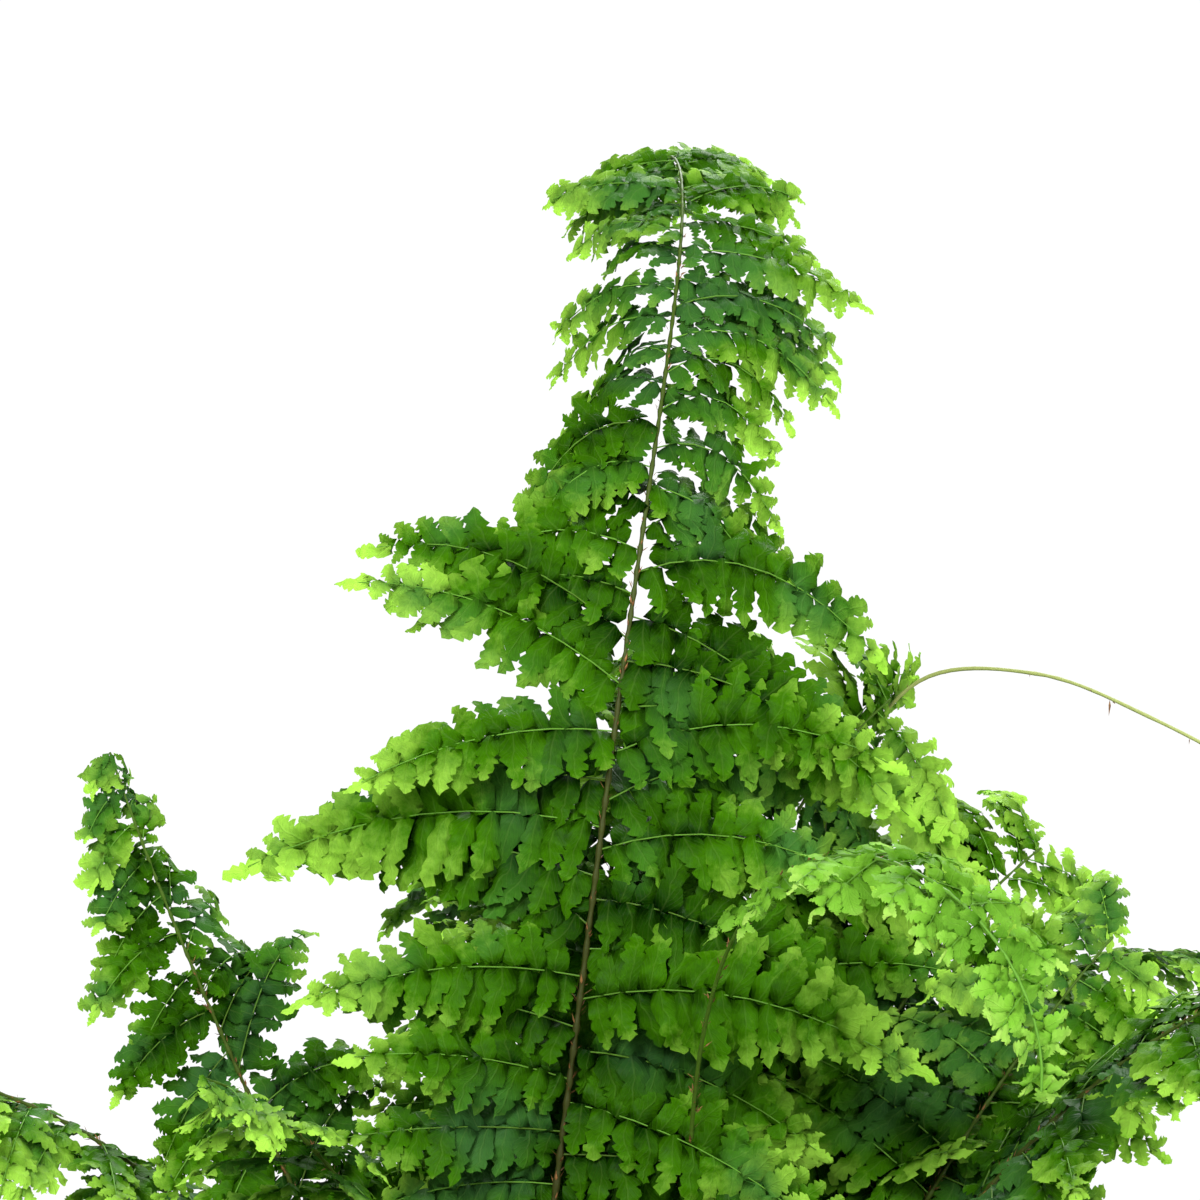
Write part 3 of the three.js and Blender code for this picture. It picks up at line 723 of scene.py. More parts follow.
class Plan:
    """A piece's plan: points that blades and scales grow on, and lines that tubes follow."""

    # What each point carries: its kind of attribute, and what turns it to metres.
    FIELDS = dict(
        axis=("FLOAT_VECTOR", 1),
        face=("FLOAT_VECTOR", 1),
        size=("FLOAT_VECTOR", MM),
        girth=("FLOAT", MM),
        shade=("FLOAT", 1),
        form=("INT", 1),
        part=("INT", 1),
    )

    def __init__(self):
        self.rows = {key: [] for key in ("place", *self.FIELDS)}
        self.edges = []
        self.count = 0

    def points(self, part, place, axis, face, size, form, shade, girth=0):
        """Adds points. form, shade and girth are one value or one for each point."""
        given = dict(place=place, axis=axis, face=face, size=size)
        for key, value in dict(part=part, form=form, shade=shade, girth=girth).items():
            given[key] = np.broadcast_to(value, len(place))
        for key, value in given.items():
            self.rows[key].append(np.asarray(value, float))
        self.count += len(place)

    def line(self, place, girth, shade):
        """Adds a line through these places."""
        n = len(place)
        self.edges += [(self.count + i, self.count + i + 1) for i in range(n - 1)]
        up = np.tile((0.0, 0.0, 1.0), (n, 1))
        self.points(LINE, place, up, up, up, 0, shade, girth)

    def mesh(self, name):
        """The plan as a mesh with an attribute for each field."""
        made = bpy.data.meshes.new(name)
        rows = {key: np.concatenate(value) for key, value in self.rows.items()}
        made.from_pydata([tuple(p) for p in rows["place"] * MM], self.edges, [])
        for key, (kind, scale) in self.FIELDS.items():
            field = "vector" if kind == "FLOAT_VECTOR" else "value"
            values = (rows[key] * scale).astype(np.int32 if kind == "INT" else np.float32)
            made.attributes.new(key, kind, "POINT").data.foreach_set(field, values.ravel())
        return made


def grow(name, plan, tree, named, forms, sizes, materials, sides=6):
    """Runs the growth tree on a plan, and returns the plain piece."""
    piece = shown_object(name, plan.mesh(name))
    values = dict(zip(("Leaf", "Stem", "Scales"), materials), Forms=forms, Sides=sides, Seed=sizes.seed)
    values |= {"Ruffle": sizes.ruffle, "Ruffle Size": sizes.ruffle_size}
    run_tree(piece, tree, named, values)
    # The leaf and stem materials still read the shade.
    left = piece.data.attributes
    for key in Plan.FIELDS:
        if key != "shade" and key in left:
            left.remove(left[key])
    return piece


# ---- Fronds ----
def ring_frond(ring, r, k):
    """The values of frond k of ring r."""
    az = ring["first"] + ring["step"] * k + STRAY.az * draw(r, k, 1)
    roll = STRAY.roll * draw(r, k, 6)
    return dict(
        az=(az, az + STRAY.sway * draw(r, k, 5)),
        lean=tuple(lean + STRAY.lean * draw(r, k, 3 + end) for end, lean in enumerate(ring["lean"])),
        late=ring["late"],
        length=ring["length"] * (1 + STRAY.size * draw(r, k, 2)),
        half=ring["half"] * (1 + STRAY.size * draw(r, k, 8)),
        roll=(roll, roll + STRAY.twist * draw(r, k, 7)),
    )


def all_fronds():
    """Every frond of the plant, numbered as the model's nodes are."""
    fronds = [dict(f) for f in SHOWN]
    fronds += [ring_frond(ring, r, k) for r, ring in enumerate(RINGS) for k in range(ring["count"])]
    for number, frond in enumerate(fronds):
        frond["number"] = number
    return fronds


def rib_frame(frond, t):
    """A rib's directions at shares t of its length: along it, to its left, and up from its face."""
    t = np.atleast_1d(np.asarray(t, float))
    lean = np.radians(mix(frond["lean"], t ** frond["late"]))
    az = np.radians(mix(frond["az"], t))
    along = columns(np.cos(az) * np.sin(lean), np.sin(az) * np.sin(lean), np.cos(lean))
    up = columns(-np.cos(az) * np.cos(lean), -np.sin(az) * np.cos(lean), np.sin(lean))
    left = np.cross(up, along)
    roll = np.radians(mix(frond["roll"], t))
    return along, swung(left, up, roll), swung(up, -left, roll)


def rib_line(frond, lean_most):
    """Places at equal steps along a rib, from the soil's surface to its tip."""
    start = np.radians(frond["az"][0])
    reach = mix(STALK.reach, frond["lean"][0] / lean_most)
    foot = frond.get("foot", (reach * np.cos(start), reach * np.sin(start)))
    steps = rib_frame(frond, (np.arange(RIB_STEPS) + 0.5) / RIB_STEPS)[0] * frond["length"] / RIB_STEPS
    first = np.array([[*foot, SOIL_TOP]])
    return np.concatenate([first, first + np.cumsum(steps, axis=0)])


def place_on(line, t):
    """Places at shares t of a line of places at equal steps."""
    shares = np.linspace(0, 1, len(line))
    return columns(*(np.interp(t, shares, row) for row in line.T))


def sag_at(u):
    """How much of a frond's sag its leaflets have at the share u."""
    return np.exp(-(((u - SAG.at) / SAG.width) ** 2))


def leaflet_length(frond, u):
    """Leaflets grow longer from the first ones on, and shorter again towards the tip."""
    rise = mix((0.5, 1), np.minimum(1, u / 0.22) ** 0.8)
    full = frond.get("full", 0.35)
    fall = 1 - frond.get("fall", 0.85) * np.maximum(0, (u - full) / (1 - full)) ** 1.15
    slack = 1 - 0.2 * frond.get("sag", 0) * sag_at(u)
    return frond["half"] * rise * fall * slack


def leaflet_stray(number, i, second, purpose):
    """A leaflet's stray: between those of the model's leaflets beside it, with a little of its own."""
    pair, share = divmod(i / PER_MODEL_LEAFLET, 1)
    here = draw(number, 2 * pair + second, purpose)
    following = draw(number, 2 * (pair + 1) + second, purpose)
    own = draw(number, 1000 + 2 * i + second, purpose)
    return mix((here, following), share) + 0.5 * own * (share > 0)


def leaflet_places(frond):
    """A frond's leaflets. Every third one stands where the model has one of its fewer ones."""
    bare = frond.get("bare", LEAFLET.first_at)
    dense = round(frond["length"] * (1 - bare) / LEAFLET.spacing) * PER_MODEL_LEAFLET
    for i in range(dense):
        x = (i + 0.15 * PER_MODEL_LEAFLET) / dense
        u = x * (1.22 - 0.24 * x)
        between = i % PER_MODEL_LEAFLET > 0
        for second, side in enumerate((-1, 1)):
            number = 2 * i + second
            stray = {
                key: most * leaflet_stray(frond["number"], i, second, purpose)
                for key, (purpose, most) in LEAFLET_STRAY.items()
            }
            length = leaflet_length(frond, u) * (1 + stray["length"])
            length *= 1 - between * about(BETWEEN.shorter, draw(frond["number"], number, 63))
            t = min(mix((bare, 1), u) + (second + 0.5) * LEAFLET.base / frond["length"], 0.995)
            yield Values(
                side=side, u=u, t=t, length=length, stray=stray, between=between, number=number
            )


def leaflet_midrib(frond, line, leaflet, count=8):
    """A leaflet's midrib: places at equal steps, and its directions there."""
    u, side, stray, between = leaflet.u, leaflet.side, leaflet.stray, leaflet.between
    along, left, up = (d[0] for d in rib_frame(frond, leaflet.t))
    # Near a facing frond's tip the leaflets turn their faces to the viewer.
    seen = unit(mix((up, VIEWER_SIDE), frond.get("facing", 0) * progress(u, 0.62, 0.2)))
    own = [draw(frond["number"], leaflet.number, purpose) for purpose in (61, 62)]
    angle = mix(LEAFLET.angle, u) - side * frond.get("skew", 0)
    angle = np.radians(angle + stray["angle"] + between * BETWEEN.angle * own[0])
    rise = np.radians(mix(LEAFLET.rise, u) + stray["rise"] - between * about(BETWEEN.lower, own[1]))
    droop = (mix(LEAFLET.droop, u) + stray["droop"]) * frond.get("limp", 1)
    droop += frond.get("sag", 0) * sag_at(u)
    first = swung(swung(along, left * side, angle), up, rise)

    def frame_at(v):
        """The midrib's directions at shares v: along it, up from its face, and towards the frond's tip."""
        way = unit(first - np.outer(droop * v, (0, 0, 1)))
        face = unit(seen - way * (way @ seen)[:, None])
        turn = np.radians(stray["twist"] * v + side * LEAFLET.shingle)
        face = swung(face, np.cross(way, face), turn)
        return way, face, side * np.cross(way, face)

    root = place_on(line, leaflet.t)
    steps = frame_at((np.arange(count) + 0.5) / count)[0] * leaflet.length / count
    places = np.concatenate([[root], root + np.cumsum(steps, axis=0)])
    return places, frame_at


def plan_leaflet(plan, frond, line, leaflet, sizes, forms):
    """Adds a leaflet to the plan: its midrib, its two rows of lobes and the lobe at its end."""
    u, length = leaflet.u, leaflet.length
    number = leaflet.number + LEAFLETS_MOST * frond["number"]
    places, frame_at = leaflet_midrib(frond, line, leaflet)
    v = np.linspace(0, 1, len(places))
    # Leaflets are fresher towards the frond's tip, and near the tip they are painted lighter still.
    fresh = FRESH_AND_LIT.stray * draw(number, 1, 21) + FRESH_AND_LIT.along * u + frond.get("fresh", 0)
    # Painted light: from a share of the frond on, its leaflets are painted lighter, since their undersides
    # face the viewer unlit.
    fresh += FRESH_AND_LIT.tip * max(0, u - FRESH_AND_LIT.tip_from)
    girth = mix((sizes.midrib_radius / MM, 0.12), v) * min(1, 0.45 + length / 80)
    plan.line(places, girth, np.clip(0.75 + 0.2 * v + fresh, 0, 1))

    pitch = np.clip(about(LOBE.pitch, length), LOBE.pitch_least, sizes.lobe_pitch / MM)
    half = about(LEAFLET.half_width, length)
    # The leaflets are blunter, and narrower next to the rib, towards a frond's tip.
    late = progress(u, 0.55, 0.25)
    root = about(LOBE.root, -late)
    taper = about(LOBE.taper, -late)
    # Their lobes lie flatter there.
    flat = 1 - 0.7 * progress(u, 0.4, 0.3)
    count = max(2, round(LOBE.span * length / pitch))
    for row, way in enumerate((-1, 1)):
        i = np.arange(count)
        at = LOBE.first + LOBE.span * (i + 0.25 + 0.5 * row) / count
        way_along, face, toward_tip = frame_at(at)
        chance = [draw(number, 2 * i + row, purpose) for purpose in range(31, 38)]
        opening = root + (1 - root) * np.minimum(1, at / (0.3 + 0.12 * late))
        closing = 1 - taper * np.maximum(0, (at - 0.42) / 0.58) ** 1.25
        out = half * LOBE.length * (opening * closing) * (1 + LOBE.stray.length * chance[0])
        # The lobes next to the rib lean back over it.
        angle = mix(LOBE.angle, at**1.5) + LOBE.stray.angle * chance[1]
        angle += LOBE.lean_back * np.exp(-((at / 0.05) ** 2))
        axis = swung(way_along, toward_tip * way, np.radians(angle))
        fold = np.radians(about(LOBE.fold, chance[2]) * flat + frond.get("folded", 0))
        axis = unit(swung(axis, -face, fold))
        normal = unit(face - axis * np.sum(face * axis, axis=1, keepdims=True))
        turn = (LOBE.turn[0] * way * leaflet.side + LOBE.turn[1] * chance[3]) * flat
        normal = swung(normal, np.cross(axis, normal), np.radians(turn))
        wide = np.minimum(pitch * sizes.overlap, 0.7 * out) * (1 + LOBE.stray.width * chance[4])
        form = np.floor((0.5 + 0.4999 * chance[5]) * forms)
        # Lobes are darker near the frond's rib: partly deeper green, partly painted shade where the leaflets
        # lie in shadow.
        shade = 0.04 + 0.5 * at**2 + fresh + LOBE.stray.shade * chance[6]
        # Painted shade: the leaflets between the model's are painted a little darker, as lying behind the
        # others.
        shade = np.clip(shade - leaflet.between * BETWEEN.darker, 0, 1)
        place = place_on(places, at) + 0.25 * face
        plan.points(BLADE, place, axis, normal, columns(wide, out, out), form, shade)
    way_along, face, _ = frame_at(np.array([0.97]))
    end = half * 0.42
    place = place_on(places, np.array([0.955]))
    size = np.array([[end * 0.55, end * 1.35, end]])
    plan.points(BLADE, place, way_along, face, size, 0, np.clip(0.7 + fresh, 0, 1))


def plan_frond(frond, lean_most, sizes, forms, scales, finer):
    """A frond's plan: its stalk and rib, its leaflets, and the papery scales on its stalk."""
    plan = Plan()
    line = rib_line(frond, lean_most)
    leaflets = list(leaflet_places(frond))
    t = np.linspace(0, 1, RIB_STEPS * finer + 1)
    # The rib swells a little where each leaflet leaves it.
    away = (t[:, None] - [leaflet.t for leaflet in leaflets]) * frond["length"]
    swelling = RIB.swelling * np.exp(-((away / RIB.swelling_length) ** 2)).max(axis=1)
    knots = 1 + RIB.uneven * draw(frond["number"], np.arange(len(t)), 41) + swelling
    girth = sizes.rib_radius / MM * mix(RIB.girth, t**0.9) * knots
    shade = np.clip(0.02 + 0.7 * t**1.2 + 0.35 * bool(frond.get("young")), 0, 1)
    foot = line[:1] - rib_frame(frond, 0)[0] * STALK.depth * 0.9
    plan.line(
        np.concatenate([foot, place_on(line, t)]),
        np.concatenate([girth[:1] * 1.1, girth]),
        np.concatenate([[0], shade]),
    )
    for leaflet in leaflets:
        plan_leaflet(plan, frond, line, leaflet, sizes, forms)

    # The scales stand closest together at the stalk's foot. Their form is the last one, after the lobes'.
    chance = [draw(500 + frond["number"], np.arange(scales), purpose) for purpose in range(1, 6)]
    share = (0.5 + 0.5 * chance[0]) ** 1.6 * STALK_SCALE.up_to
    along, left, up = rib_frame(frond, share)
    out = swung(left, up, np.pi * chance[1])
    axis = swung(along, out, np.radians(about(STALK_SCALE.tilt, chance[2])))
    long = about(STALK_SCALE.length, chance[3]) * (1 - 0.5 * share)
    wide = long * STALK_SCALE.width
    place = place_on(line, share) + out * 0.6
    plan.points(SCALE, place, axis, out, columns(wide, long, wide * 0.5), forms, 0.5 + 0.5 * chance[4])
    return plan


def lobe_collection(kind, edge, count, sizes):
    """Lobes of one kind that differ a little, with the papery scale after them."""
    meshes = []
    for k in range(count):
        group = sizes.seed + k
        stray = [(s, w * (1 + 0.1 * draw(group, i, 55) * (i > 0))) for i, (s, w) in enumerate(edge)]
        form = {
            key: about(pair, draw(group, k, 51 + i)) for i, (key, pair) in enumerate(LOBE_FORM.items())
        }
        meshes.append(lobe_mesh(f"{kind}_{k}", stray, thick=sizes.blade, **form))
    meshes.append(scale_mesh(f"{kind}_scale"))
    return collection_of(f"fern_{kind}", meshes)


class FERN_OT_fronds(Operator):
    """Grow every frond: ribs, midribs, lobed and ruffled leaflets, and papery scales"""

    bl_idname = "potted_fern.fronds"
    bl_label = "Fronds"

    def execute(self, context):
        sizes = context.scene.fern_foliage
        colours = context.scene.fern_colours
        deep, leaf, tip, young = (tuple(c) for c in (colours.deep, colours.leaf, colours.tip, colours.young))
        # The grown leaf's bluish patches are partly tone that differs at random and partly painted sheen.
        grown_leaf = leaf_material(
            "fern_leaf_waxy", [(0, deep), (0.42, leaf), (0.95, tip)], roughness=0.42, cool_tone_and_sheen=0.44
        )
        young_leaf = leaf_material(
            "fern_leaf_young_soft", [(0, leaf), (0.5, young), (1, linear("#b0d866"))],
            roughness=0.5, cool_tone_and_sheen=0.08,
        )
        stem = stem_material(
            "fern_rib_smooth", [(0, "#2a2a0e"), (0.3, "#363c12"), (0.7, "#426018"), (1, "#5a8c2c")]
        )
        papery = grain_material("fern_scale_papery", "#5b3a1c", "#9a6b3b", size=0.8, roughness=0.7)
        tree, named = growth_tree()
        # The fronds in front get finer lobes, more scales and a finer rib.
        fine, plain = (
            Values(forms=lobe_collection(kind, edge, count, sizes), count=count, scales=scales, rib=rib)
            for kind, edge, count, scales, rib in (
                ("fine", FINE_EDGE, 6, 240, 4),
                ("plain", PLAIN_EDGE, 5, 60, 1),
            )
        )
        fronds = all_fronds()
        lean_most = max(frond["lean"][0] for frond in fronds)
        for frond in fronds:
            detail = fine if frond["number"] < len(SHOWN) else plain
            plan = plan_frond(frond, lean_most, sizes, detail.count, detail.scales, detail.rib)
            name = f"frond_{frond['number'] + 1:02d}"
            green, slot = (young_leaf, "young_leaf") if frond.get("young") else (grown_leaf, "leaf")
            piece = grow(f"{name}_blades", plan, tree, named, detail.forms, sizes, (green, stem, papery))
            finish_piece(piece, slot, name)
        discard(fine.forms)
        discard(plain.forms)
        return {"FINISHED"}


# ---- Runners ----
def knot_mix(knots, t, a, b, start, end):
    """What lies between a and b when t runs from one knot to another."""
    return ((knots[end] - t) * a + (t - knots[start]) * b) / (knots[end] - knots[start])


def smooth_route(points, per_leg):
    """Places on a smooth curve through the points, as the model's routes run."""
    p = np.array(points, float)
    p = np.concatenate([[2 * p[0] - p[1]], p, [2 * p[-1] - p[-2]]])
    places = []
    for i in range(1, len(p) - 2):
        near = p[i - 1 : i + 3]
        k = np.concatenate([[0], np.cumsum(np.linalg.norm(np.diff(near, axis=0), axis=1) ** 0.5)])
        t = np.linspace(k[1], k[2], per_leg, endpoint=i == len(p) - 3)[:, None]
        first, middle, last = (knot_mix(k, t, near[j], near[j + 1], j, j + 1) for j in range(3))
        early = knot_mix(k, t, first, middle, 0, 2)
        late = knot_mix(k, t, middle, last, 1, 3)
        places.append(knot_mix(k, t, early, late, 1, 2))
    return np.concatenate(places)


def plan_runner(number, route):
    """A runner's plan: its thin stem, and nubs of which every sixth is long."""
    plan = Plan()
    places = smooth_route(route, RUNNER.per_leg)
    t = np.linspace(0, 1, len(places))
    wavy = 1 + RUNNER.uneven * draw(900 + number, np.arange(len(places)), 1)
    plan.line(places, mix(RUNNER.radius, t) * wavy, np.clip(0.1 + 0.9 * t, 0, 1))
    item = np.arange(RUNNER.nubs)
    chance = [draw(910 + number, item, purpose) for purpose in (1, 2, 3)]
    share = np.sort(0.5 + 0.5 * chance[0])
    ahead = unit(place_on(places, np.minimum(1, share + 0.01)) - place_on(places, share - 0.01))
    level = unit(np.cross(ahead, (0.3, 0.2, 0.9)))
    out = swung(level, np.cross(ahead, level), np.pi * chance[1])
    long = np.where(item % 6 == 2, RUNNER.long_nub, RUNNER.nub) * (1 + 0.3 * chance[2])
    size = columns(long * 0.35, long, long * 0.3)
    plan.points(SCALE, place_on(places, share) + out * 0.3, unit(ahead * 0.6 + out), out, size, 0, 0.3)
    return plan


class FERN_OT_runners(Operator):
    """Make the leafless runners with their nubs"""

    bl_idname = "potted_fern.runners"
    bl_label = "Runners"

    def execute(self, context):
        sizes = context.scene.fern_foliage
        wiry = stem_material("runner_skin_wiry", [(0, "#5a4a2a"), (0.4, "#7f8a4a"), (1, "#a3ad6a")])
        papery = grain_material("runner_nub_papery", "#5a3a1e", "#8a6238", size=0.6, roughness=0.7)
        tree, named = growth_tree()
        forms = collection_of("runner_forms", [scale_mesh("nub")])
        for number, (name, route) in enumerate(RUNNERS.items()):
            plan = plan_runner(number, route)
            piece = grow(f"{name}_stem", plan, tree, named, forms, sizes, (wiry, wiry, papery))
            finish_piece(piece, "runner", name)
        discard(forms)
        return {"FINISHED"}


# ---- Pot, soil and crown ----
def rounded(before, corner, after, radius, steps=5):
    """Points of the arc that rounds a corner of a profile."""
    before, corner, after = (np.array(p, float) for p in (before, corner, after))
    start = corner + unit(before - corner) * radius
    end = corner + unit(after - corner) * radius
    s = np.linspace(0, 1, steps)[:, None]
    return [tuple(p) for p in (1 - s) ** 2 * start + 2 * s * (1 - s) * corner + s**2 * end]


def pot_inside(pot, z):
    """The radius inside the pot's wall at a height, in metres."""
    low, high = pot.foot_radius - pot.wall, pot.rim_radius - pot.rim_step - pot.wall
    return mix((low, high), (z - pot.floor) / (pot.height - pot.floor))


def pot_profile(pot):
    """The pot's rounded profile in millimetres, from the axis under its foot to the axis on its floor."""
    under = pot.height - pot.rim_height
    outside = pot_inside(pot, under) + pot.wall
    sharp = [
        (0, 0),
        (pot.foot_radius, 0),
        (outside, under),
        (outside + pot.rim_step, under),
        (pot.rim_radius, pot.height),
        (pot_inside(pot, pot.height), pot.height),
        (pot_inside(pot, pot.floor), pot.floor),
        (0, pot.floor),
    ]
    sharp = [(r / MM, z / MM) for r, z in sharp]
    profile = [sharp[0]]
    for i, radius in enumerate(POT_ROUNDINGS, start=1):
        arc = rounded(sharp[i - 1], sharp[i], sharp[i + 1], radius)
        # Long straight runs get points between, for the slight unevenness of pressed clay.
        gap = np.array(arc[0]) - profile[-1]
        runs = int(np.linalg.norm(gap) // 9)
        profile += [tuple(profile[-1] + gap * (k + 1) / (runs + 1)) for k in range(runs)]
        profile += arc
    return [*profile, sharp[-1]]


def drain_cutter():
    """The posts that cut the drain holes, as one object."""
    post, sides = turned([(0, -5), (DRAIN.radius, -5), (DRAIN.radius, 13), (0, 13)], 32)
    # Turned by 4 degrees, so that no corner of a hole lies on an edge of the pot.
    c, s = np.cos(0.07), np.sin(0.07)
    post = post @ np.array([(c, s, 0), (-s, c, 0), (0, 0, 1)])
    posts, faces = [], []
    for i in range(DRAIN.count):
        angle = (i + 0.5) / DRAIN.count * 2 * np.pi
        posts.append(post + (DRAIN.out * np.cos(angle), DRAIN.out * np.sin(angle), 0))
        faces += [tuple(corner + i * len(post) for corner in side) for side in sides]
    return shown_object("drain_cutter", mesh_of("drain_cutter", np.concatenate(posts), faces))


class FERN_OT_pot(Operator):
    """Make the clay pot with its rim band and drain holes"""

    bl_idname = "potted_fern.pot"
    bl_label = "Pot"

    def execute(self, context):
        corners, faces = turned(pot_profile(context.scene.fern_pot), 144)
        turn = np.arctan2(corners[:, 1], corners[:, 0])
        wobble = 1 + POT_WOBBLE[0] * np.sin(2 * turn + corners[:, 2] * 0.02)
        wobble += POT_WOBBLE[1] * np.sin(5 * turn + 1)
        corners[:, :2] *= wobble[:, None]
        piece = shown_object("pot_clay", mesh_of("pot_clay", corners, faces))
        piece.data.materials.append(clay_material(tuple(context.scene.fern_colours.clay)))
        cutter = drain_cutter()
        drain = piece.modifiers.new("drain", "BOOLEAN")
        drain.operation = "DIFFERENCE"
        drain.solver = "EXACT"
        drain.object = cutter
        plain_mesh(piece)
        bpy.data.objects.remove(cutter)
        finish_piece(piece, "clay", "pot")
        return {"FINISHED"}


def scatter_tree():
    """Strews crumbs over the faces that look up, by density and seed."""
    tree, named, add = new_tree("soil_crumbs", [
        ("Ground", "Geometry", None),
        ("Crumbs", "Collection", None),
        ("Density", "Float", 90000.0),
        ("Smallest", "Float", 0.001),
        ("Largest", "Float", 0.003),
        ("Seed", "Int", 1),
        ("Material", "Material", None),
    ])
    given = add("NodeGroupInput").outputs
    upward = add("ShaderNodeSeparateXYZ", {0: add("GeometryNodeInputNormal")}).outputs["Z"]
    high = add("FunctionNodeCompare", {0: upward, 1: 0.6}, data_type="FLOAT", operation="GREATER_THAN")
    spots = add(
        "GeometryNodeDistributePointsOnFaces",
        {"Mesh": given["Ground"], "Selection": high, "Density": given["Density"], "Seed": given["Seed"]},
    )
    turn = add(
        "FunctionNodeRandomValue",
        {0: (-3.14, -3.14, -3.14), 1: (3.14, 3.14, 3.14), "Seed": given["Seed"]},
        data_type="FLOAT_VECTOR",
    )
    size = add(
        "FunctionNodeRandomValue",
        {2: given["Smallest"], 3: given["Largest"], "Seed": given["Seed"]}, data_type="FLOAT",
    )
    crumbs = add(
        "GeometryNodeCollectionInfo",
        {"Collection": given["Crumbs"], "Separate Children": True, "Reset Children": True},
    )
    strewn = add(
        "GeometryNodeInstanceOnPoints",
        {
            "Points": spots,
            "Instance": crumbs,
            "Pick Instance": True,
            "Rotation": add("FunctionNodeEulerToRotation", {0: turn}),
            "Scale": size.outputs[1],
        },
    )
    real = add("GeometryNodeRealizeInstances", {"Geometry": strewn})
    dressed = add("GeometryNodeSetMaterial", {"Geometry": real, "Material": given["Material"]})
    both = add("GeometryNodeJoinGeometry", {0: [dressed, given["Ground"]]})
    add("NodeGroupOutput", {0: add("GeometryNodeRealizeInstances", {"Geometry": both})})
    return tree, named


def soil_profile(pot):
    """The soil's mounded profile in millimetres, from its bottom, close to the pot's wall, to its top."""
    edge = SOIL_TOP - SOIL.edge_drop
    low = pot.floor / MM + SOIL.under
    outer, under = (pot_inside(pot, z * MM) / MM - SOIL.beside for z in (edge, low))
    profile = [(0, low), (under, low), (mix((under, outer), 0.5), mix((low, edge), 0.5))]
    for i in range(SOIL.rings):
        share = i / SOIL.rings
        profile.append((outer * (1 - share), edge + SOIL.edge_drop * (1 - (1 - share) ** 2)))
    return [*profile, (0, SOIL_TOP)]


class FERN_OT_soil(Operator):
    """Make the potting soil with its crumbs, bark and perlite"""

    bl_idname = "potted_fern.soil"
    bl_label = "Soil"

    def execute(self, context):
        corners, faces = turned(soil_profile(context.scene.fern_pot), SOIL.around)
        x, y, z = corners.T.copy()
        # Lumps over the mound, none below its edge.
        edge = SOIL_TOP - SOIL.edge_drop
        free = np.clip((z - edge) / 1.0 + 0.15, 0, 1)
        lumps = 0.7 * draw(600, np.arange(len(corners)), 1) + 0.9 * np.sin(x * 0.45 + 1) * np.cos(y * 0.5)
        corners[:, 2] += free * lumps * (z > edge - 1) - 0.2
        piece = shown_object("soil_peat", mesh_of("soil_peat", corners, faces))
        peat = peat_material(tuple(context.scene.fern_colours.peat))
        bark = grain_material("pine_bark_composted", "#3a2415", "#7a5233", size=2.0, roughness=0.8)
        # Perlite grains are white and rough, like crumbs of foam.
        perlite = grain_material("perlite_expanded", "#cfcabd", "#f1eee6", size=0.8, roughness=0.75)
        piece.data.materials.append(peat)
        tree, named = scatter_tree()
        crumbs = collection_of("round_crumbs", [crumb_mesh(f"crumb_{k}", 700 + k, 0.9) for k in range(4)])
        chips = collection_of("flat_crumbs", [crumb_mesh(f"chip_{k}", 720 + k, 0.32) for k in range(3)])
        for forms, layer, finish in (
            (crumbs, CRUMB_LAYERS.peat, peat),
            (chips, CRUMB_LAYERS.bark, bark),
            (crumbs, CRUMB_LAYERS.perlite, perlite),
        ):
            values = dict(zip(CRUMB_LAYERS.keys, layer))
            run_tree(piece, tree, named, {"Crumbs": forms, "Material": finish, **values})
        discard(crumbs)
        discard(chips)
        finish_piece(piece, "soil", "soil")
        return {"FINISHED"}


def plan_crown():
    """The crown's plan: its heart, the stubs of old stalks on it, and papery scales all over."""
    plan = Plan()
    t = np.linspace(0, 1, 14)
    girth = CROWN.radius * np.interp(t, *zip(*CROWN.profile))
    heart = columns(0.5 * np.sin(4 * t), 0.4 * np.cos(3 * t), mix(CROWN.ends, t) + SOIL_TOP)
    plan.line(heart, girth, 0.2)
    for k in range(STUB.count):
        turn = 2 * np.pi * k / STUB.count + 0.4 * draw(800, k, 1)
        out = np.array([np.cos(turn), np.sin(turn), 0])
        way = swung(np.array([0, 0, 1.0]), out, about(STUB.lean, draw(800, k, 2)))
        foot = STUB.out * out + (0, 0, SOIL_TOP + 2)
        steps = np.linspace(0, about(STUB.length, draw(800, k, 3)), len(STUB.girth))[:, None]
        plan.line(foot + way * steps, STUB.girth, 0.1)
    item = np.arange(CROWN_SCALE.count)
    chance = [draw(810, item, purpose) for purpose in range(1, 6)]
    at = mix((0.35, 0.99), 0.5 + 0.5 * chance[0])
    turn = item * CROWN_SCALE.golden_angle
    out = columns(np.cos(turn), np.sin(turn), 0)
    place = place_on(heart, at) + out * np.interp(at, t, girth)[:, None] * 0.9
    axis = unit(out * 0.55 + (0, 0, 1.0) + 0.25 * columns(*chance[1:4]))
    long = about(CROWN_SCALE.length, chance[4])
    size = columns(long * CROWN_SCALE.width, long, long * CROWN_SCALE.thick)
    plan.points(SCALE, place, axis, out, size, 0, 0.4)
    return plan


class FERN_OT_crown(Operator):
    """Make the scaly crown with the stubs of old stalks"""

    bl_idname = "potted_fern.crown"
    bl_label = "Crown"

    def execute(self, context):
        sizes = context.scene.fern_foliage
        stock = grain_material("fern_crown_woody", "#3c2816", "#76532f", size=1.2, roughness=0.85)
        papery = grain_material("fern_crown_scale_papery", "#4f3118", "#9b6c3c", size=0.9, roughness=0.7)
        tree, named = growth_tree()
        forms = collection_of("crown_forms", [scale_mesh("crown_scale")])
        finishes = (stock, stock, papery)
        piece = grow("crown_scaly", plan_crown(), tree, named, forms, sizes, finishes, sides=18)
        discard(forms)
        finish_piece(piece, "crown", "crown")
        return {"FINISHED"}


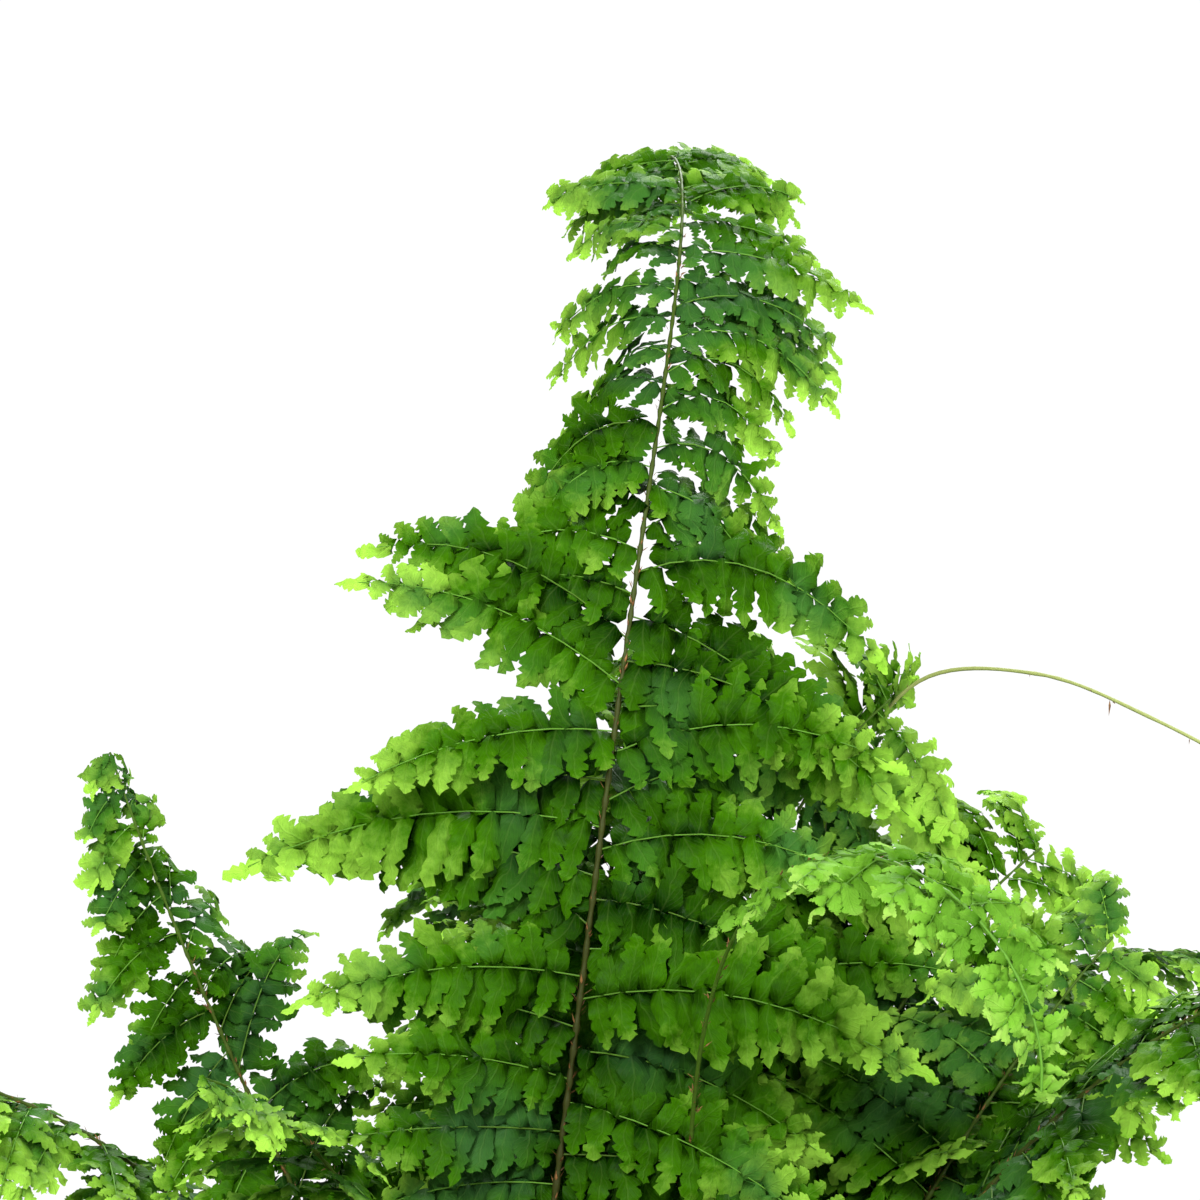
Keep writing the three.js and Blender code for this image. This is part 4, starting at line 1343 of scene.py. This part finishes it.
# ---- Stage ----
def aimed(name, data, place, target):
    """A new object in the scene that looks from a place to a target."""
    made = shown_object(name, data)
    made.location = place
    made.rotation_euler = (target - made.location).to_track_quat("-Z", "Y").to_euler()
    return made


class FERN_OT_stage(Operator):
    """Make the floor, the soft light and the camera"""

    bl_idname = "potted_fern.stage"
    bl_label = "Stage"

    def execute(self, context):
        scene = context.scene
        around = 64
        corners = [(0, 0, 0)]
        for radius in (300, 600, 900):
            corners += [(radius * np.cos(a), radius * np.sin(a), 0) for a in around_circle(around)]
        faces = [face[::-1] for face in ring_faces(around, 3, closed=False)]
        floor = shown_object("floor", mesh_of("floor", corners, faces, smooth=False))
        floor.data.materials.append(floor_material())

        # The backdrop shows white, and lights the plant less than it shows.
        world = bpy.data.worlds.new("soft_white")
        world.use_nodes = True
        world.node_tree.nodes.clear()
        add = partial(add_node, world.node_tree)
        seen = add("ShaderNodeLightPath").outputs["Is Camera Ray"]
        strength = add("ShaderNodeMath", {0: seen, 1: 0.84, 2: 0.2}, operation="MULTIPLY_ADD")
        sky = add("ShaderNodeBackground", {0: (1, 1, 1, 1), 1: strength})
        add("ShaderNodeOutputWorld", {0: sky})
        scene.world = world
        scene.view_settings.view_transform = "Standard"

        for name, place, size, energy in (
            ("key", (-0.6, -1.5, 1.4), 0.9, 52),
            ("fill", (1.2, -1.2, 0.9), 1.0, 24),
            ("back", (0.3, 1.3, 1.5), 1.0, 44),
        ):
            light = bpy.data.lights.new(name, "AREA")
            light.size = size
            light.energy = energy
            aimed(name, light, place, Vector((0, 0, 0.33)))

        # The photograph looks about level at the upper foliage and spans 264 mm there.
        lens = bpy.data.cameras.new("camera")
        lens.lens = 150
        lens.sensor_width = 36
        lens.clip_start = 0.05
        lens.clip_end = 100
        target = Vector((0, 0, 0.351))
        rise = np.radians(5)
        distance = 1.1
        place = target + distance * Vector((0, -np.cos(rise), np.sin(rise)))
        scene.camera = aimed("camera", lens, place, target)
        return {"FINISHED"}


class FERN_PT_panel(Panel):
    """The potted fern's sizes, colours and steps"""

    bl_label = "Potted Fern"
    bl_idname = "FERN_PT_panel"
    bl_space_type = "VIEW_3D"
    bl_region_type = "UI"
    bl_category = "Potted Fern"

    def draw(self, context):
        for name in GROUPS:
            group = getattr(context.scene, name)
            box = self.layout.box()
            for key in group.__annotations__:
                box.prop(group, key)
        for operator in OPERATORS:
            self.layout.operator(operator.bl_idname)


GROUPS = {
    "fern_pot": FernPotSizes,
    "fern_foliage": FernFoliageSizes,
    "fern_colours": FernColours,
}
OPERATORS = (
    FERN_OT_stage,
    FERN_OT_pot,
    FERN_OT_soil,
    FERN_OT_crown,
    FERN_OT_runners,
    FERN_OT_fronds,
)
CLASSES = (*GROUPS.values(), *OPERATORS, FERN_PT_panel)


def register():
    """Makes the classes known to Blender, with a group of values on the scene for each piece."""
    for made in CLASSES:
        bpy.utils.register_class(made)
    for name, group in GROUPS.items():
        setattr(bpy.types.Scene, name, PointerProperty(type=group))


def unregister():
    """Takes the groups and the classes away again."""
    for name in GROUPS:
        delattr(bpy.types.Scene, name)
    for made in reversed(CLASSES):
        bpy.utils.unregister_class(made)


def main():
    """Makes every piece and the stage."""
    register()
    bpy.ops.potted_fern.stage()
    bpy.ops.potted_fern.pot()
    bpy.ops.potted_fern.soil()
    bpy.ops.potted_fern.crown()
    bpy.ops.potted_fern.runners()
    bpy.ops.potted_fern.fronds()


if __name__ == "__main__":
    main()
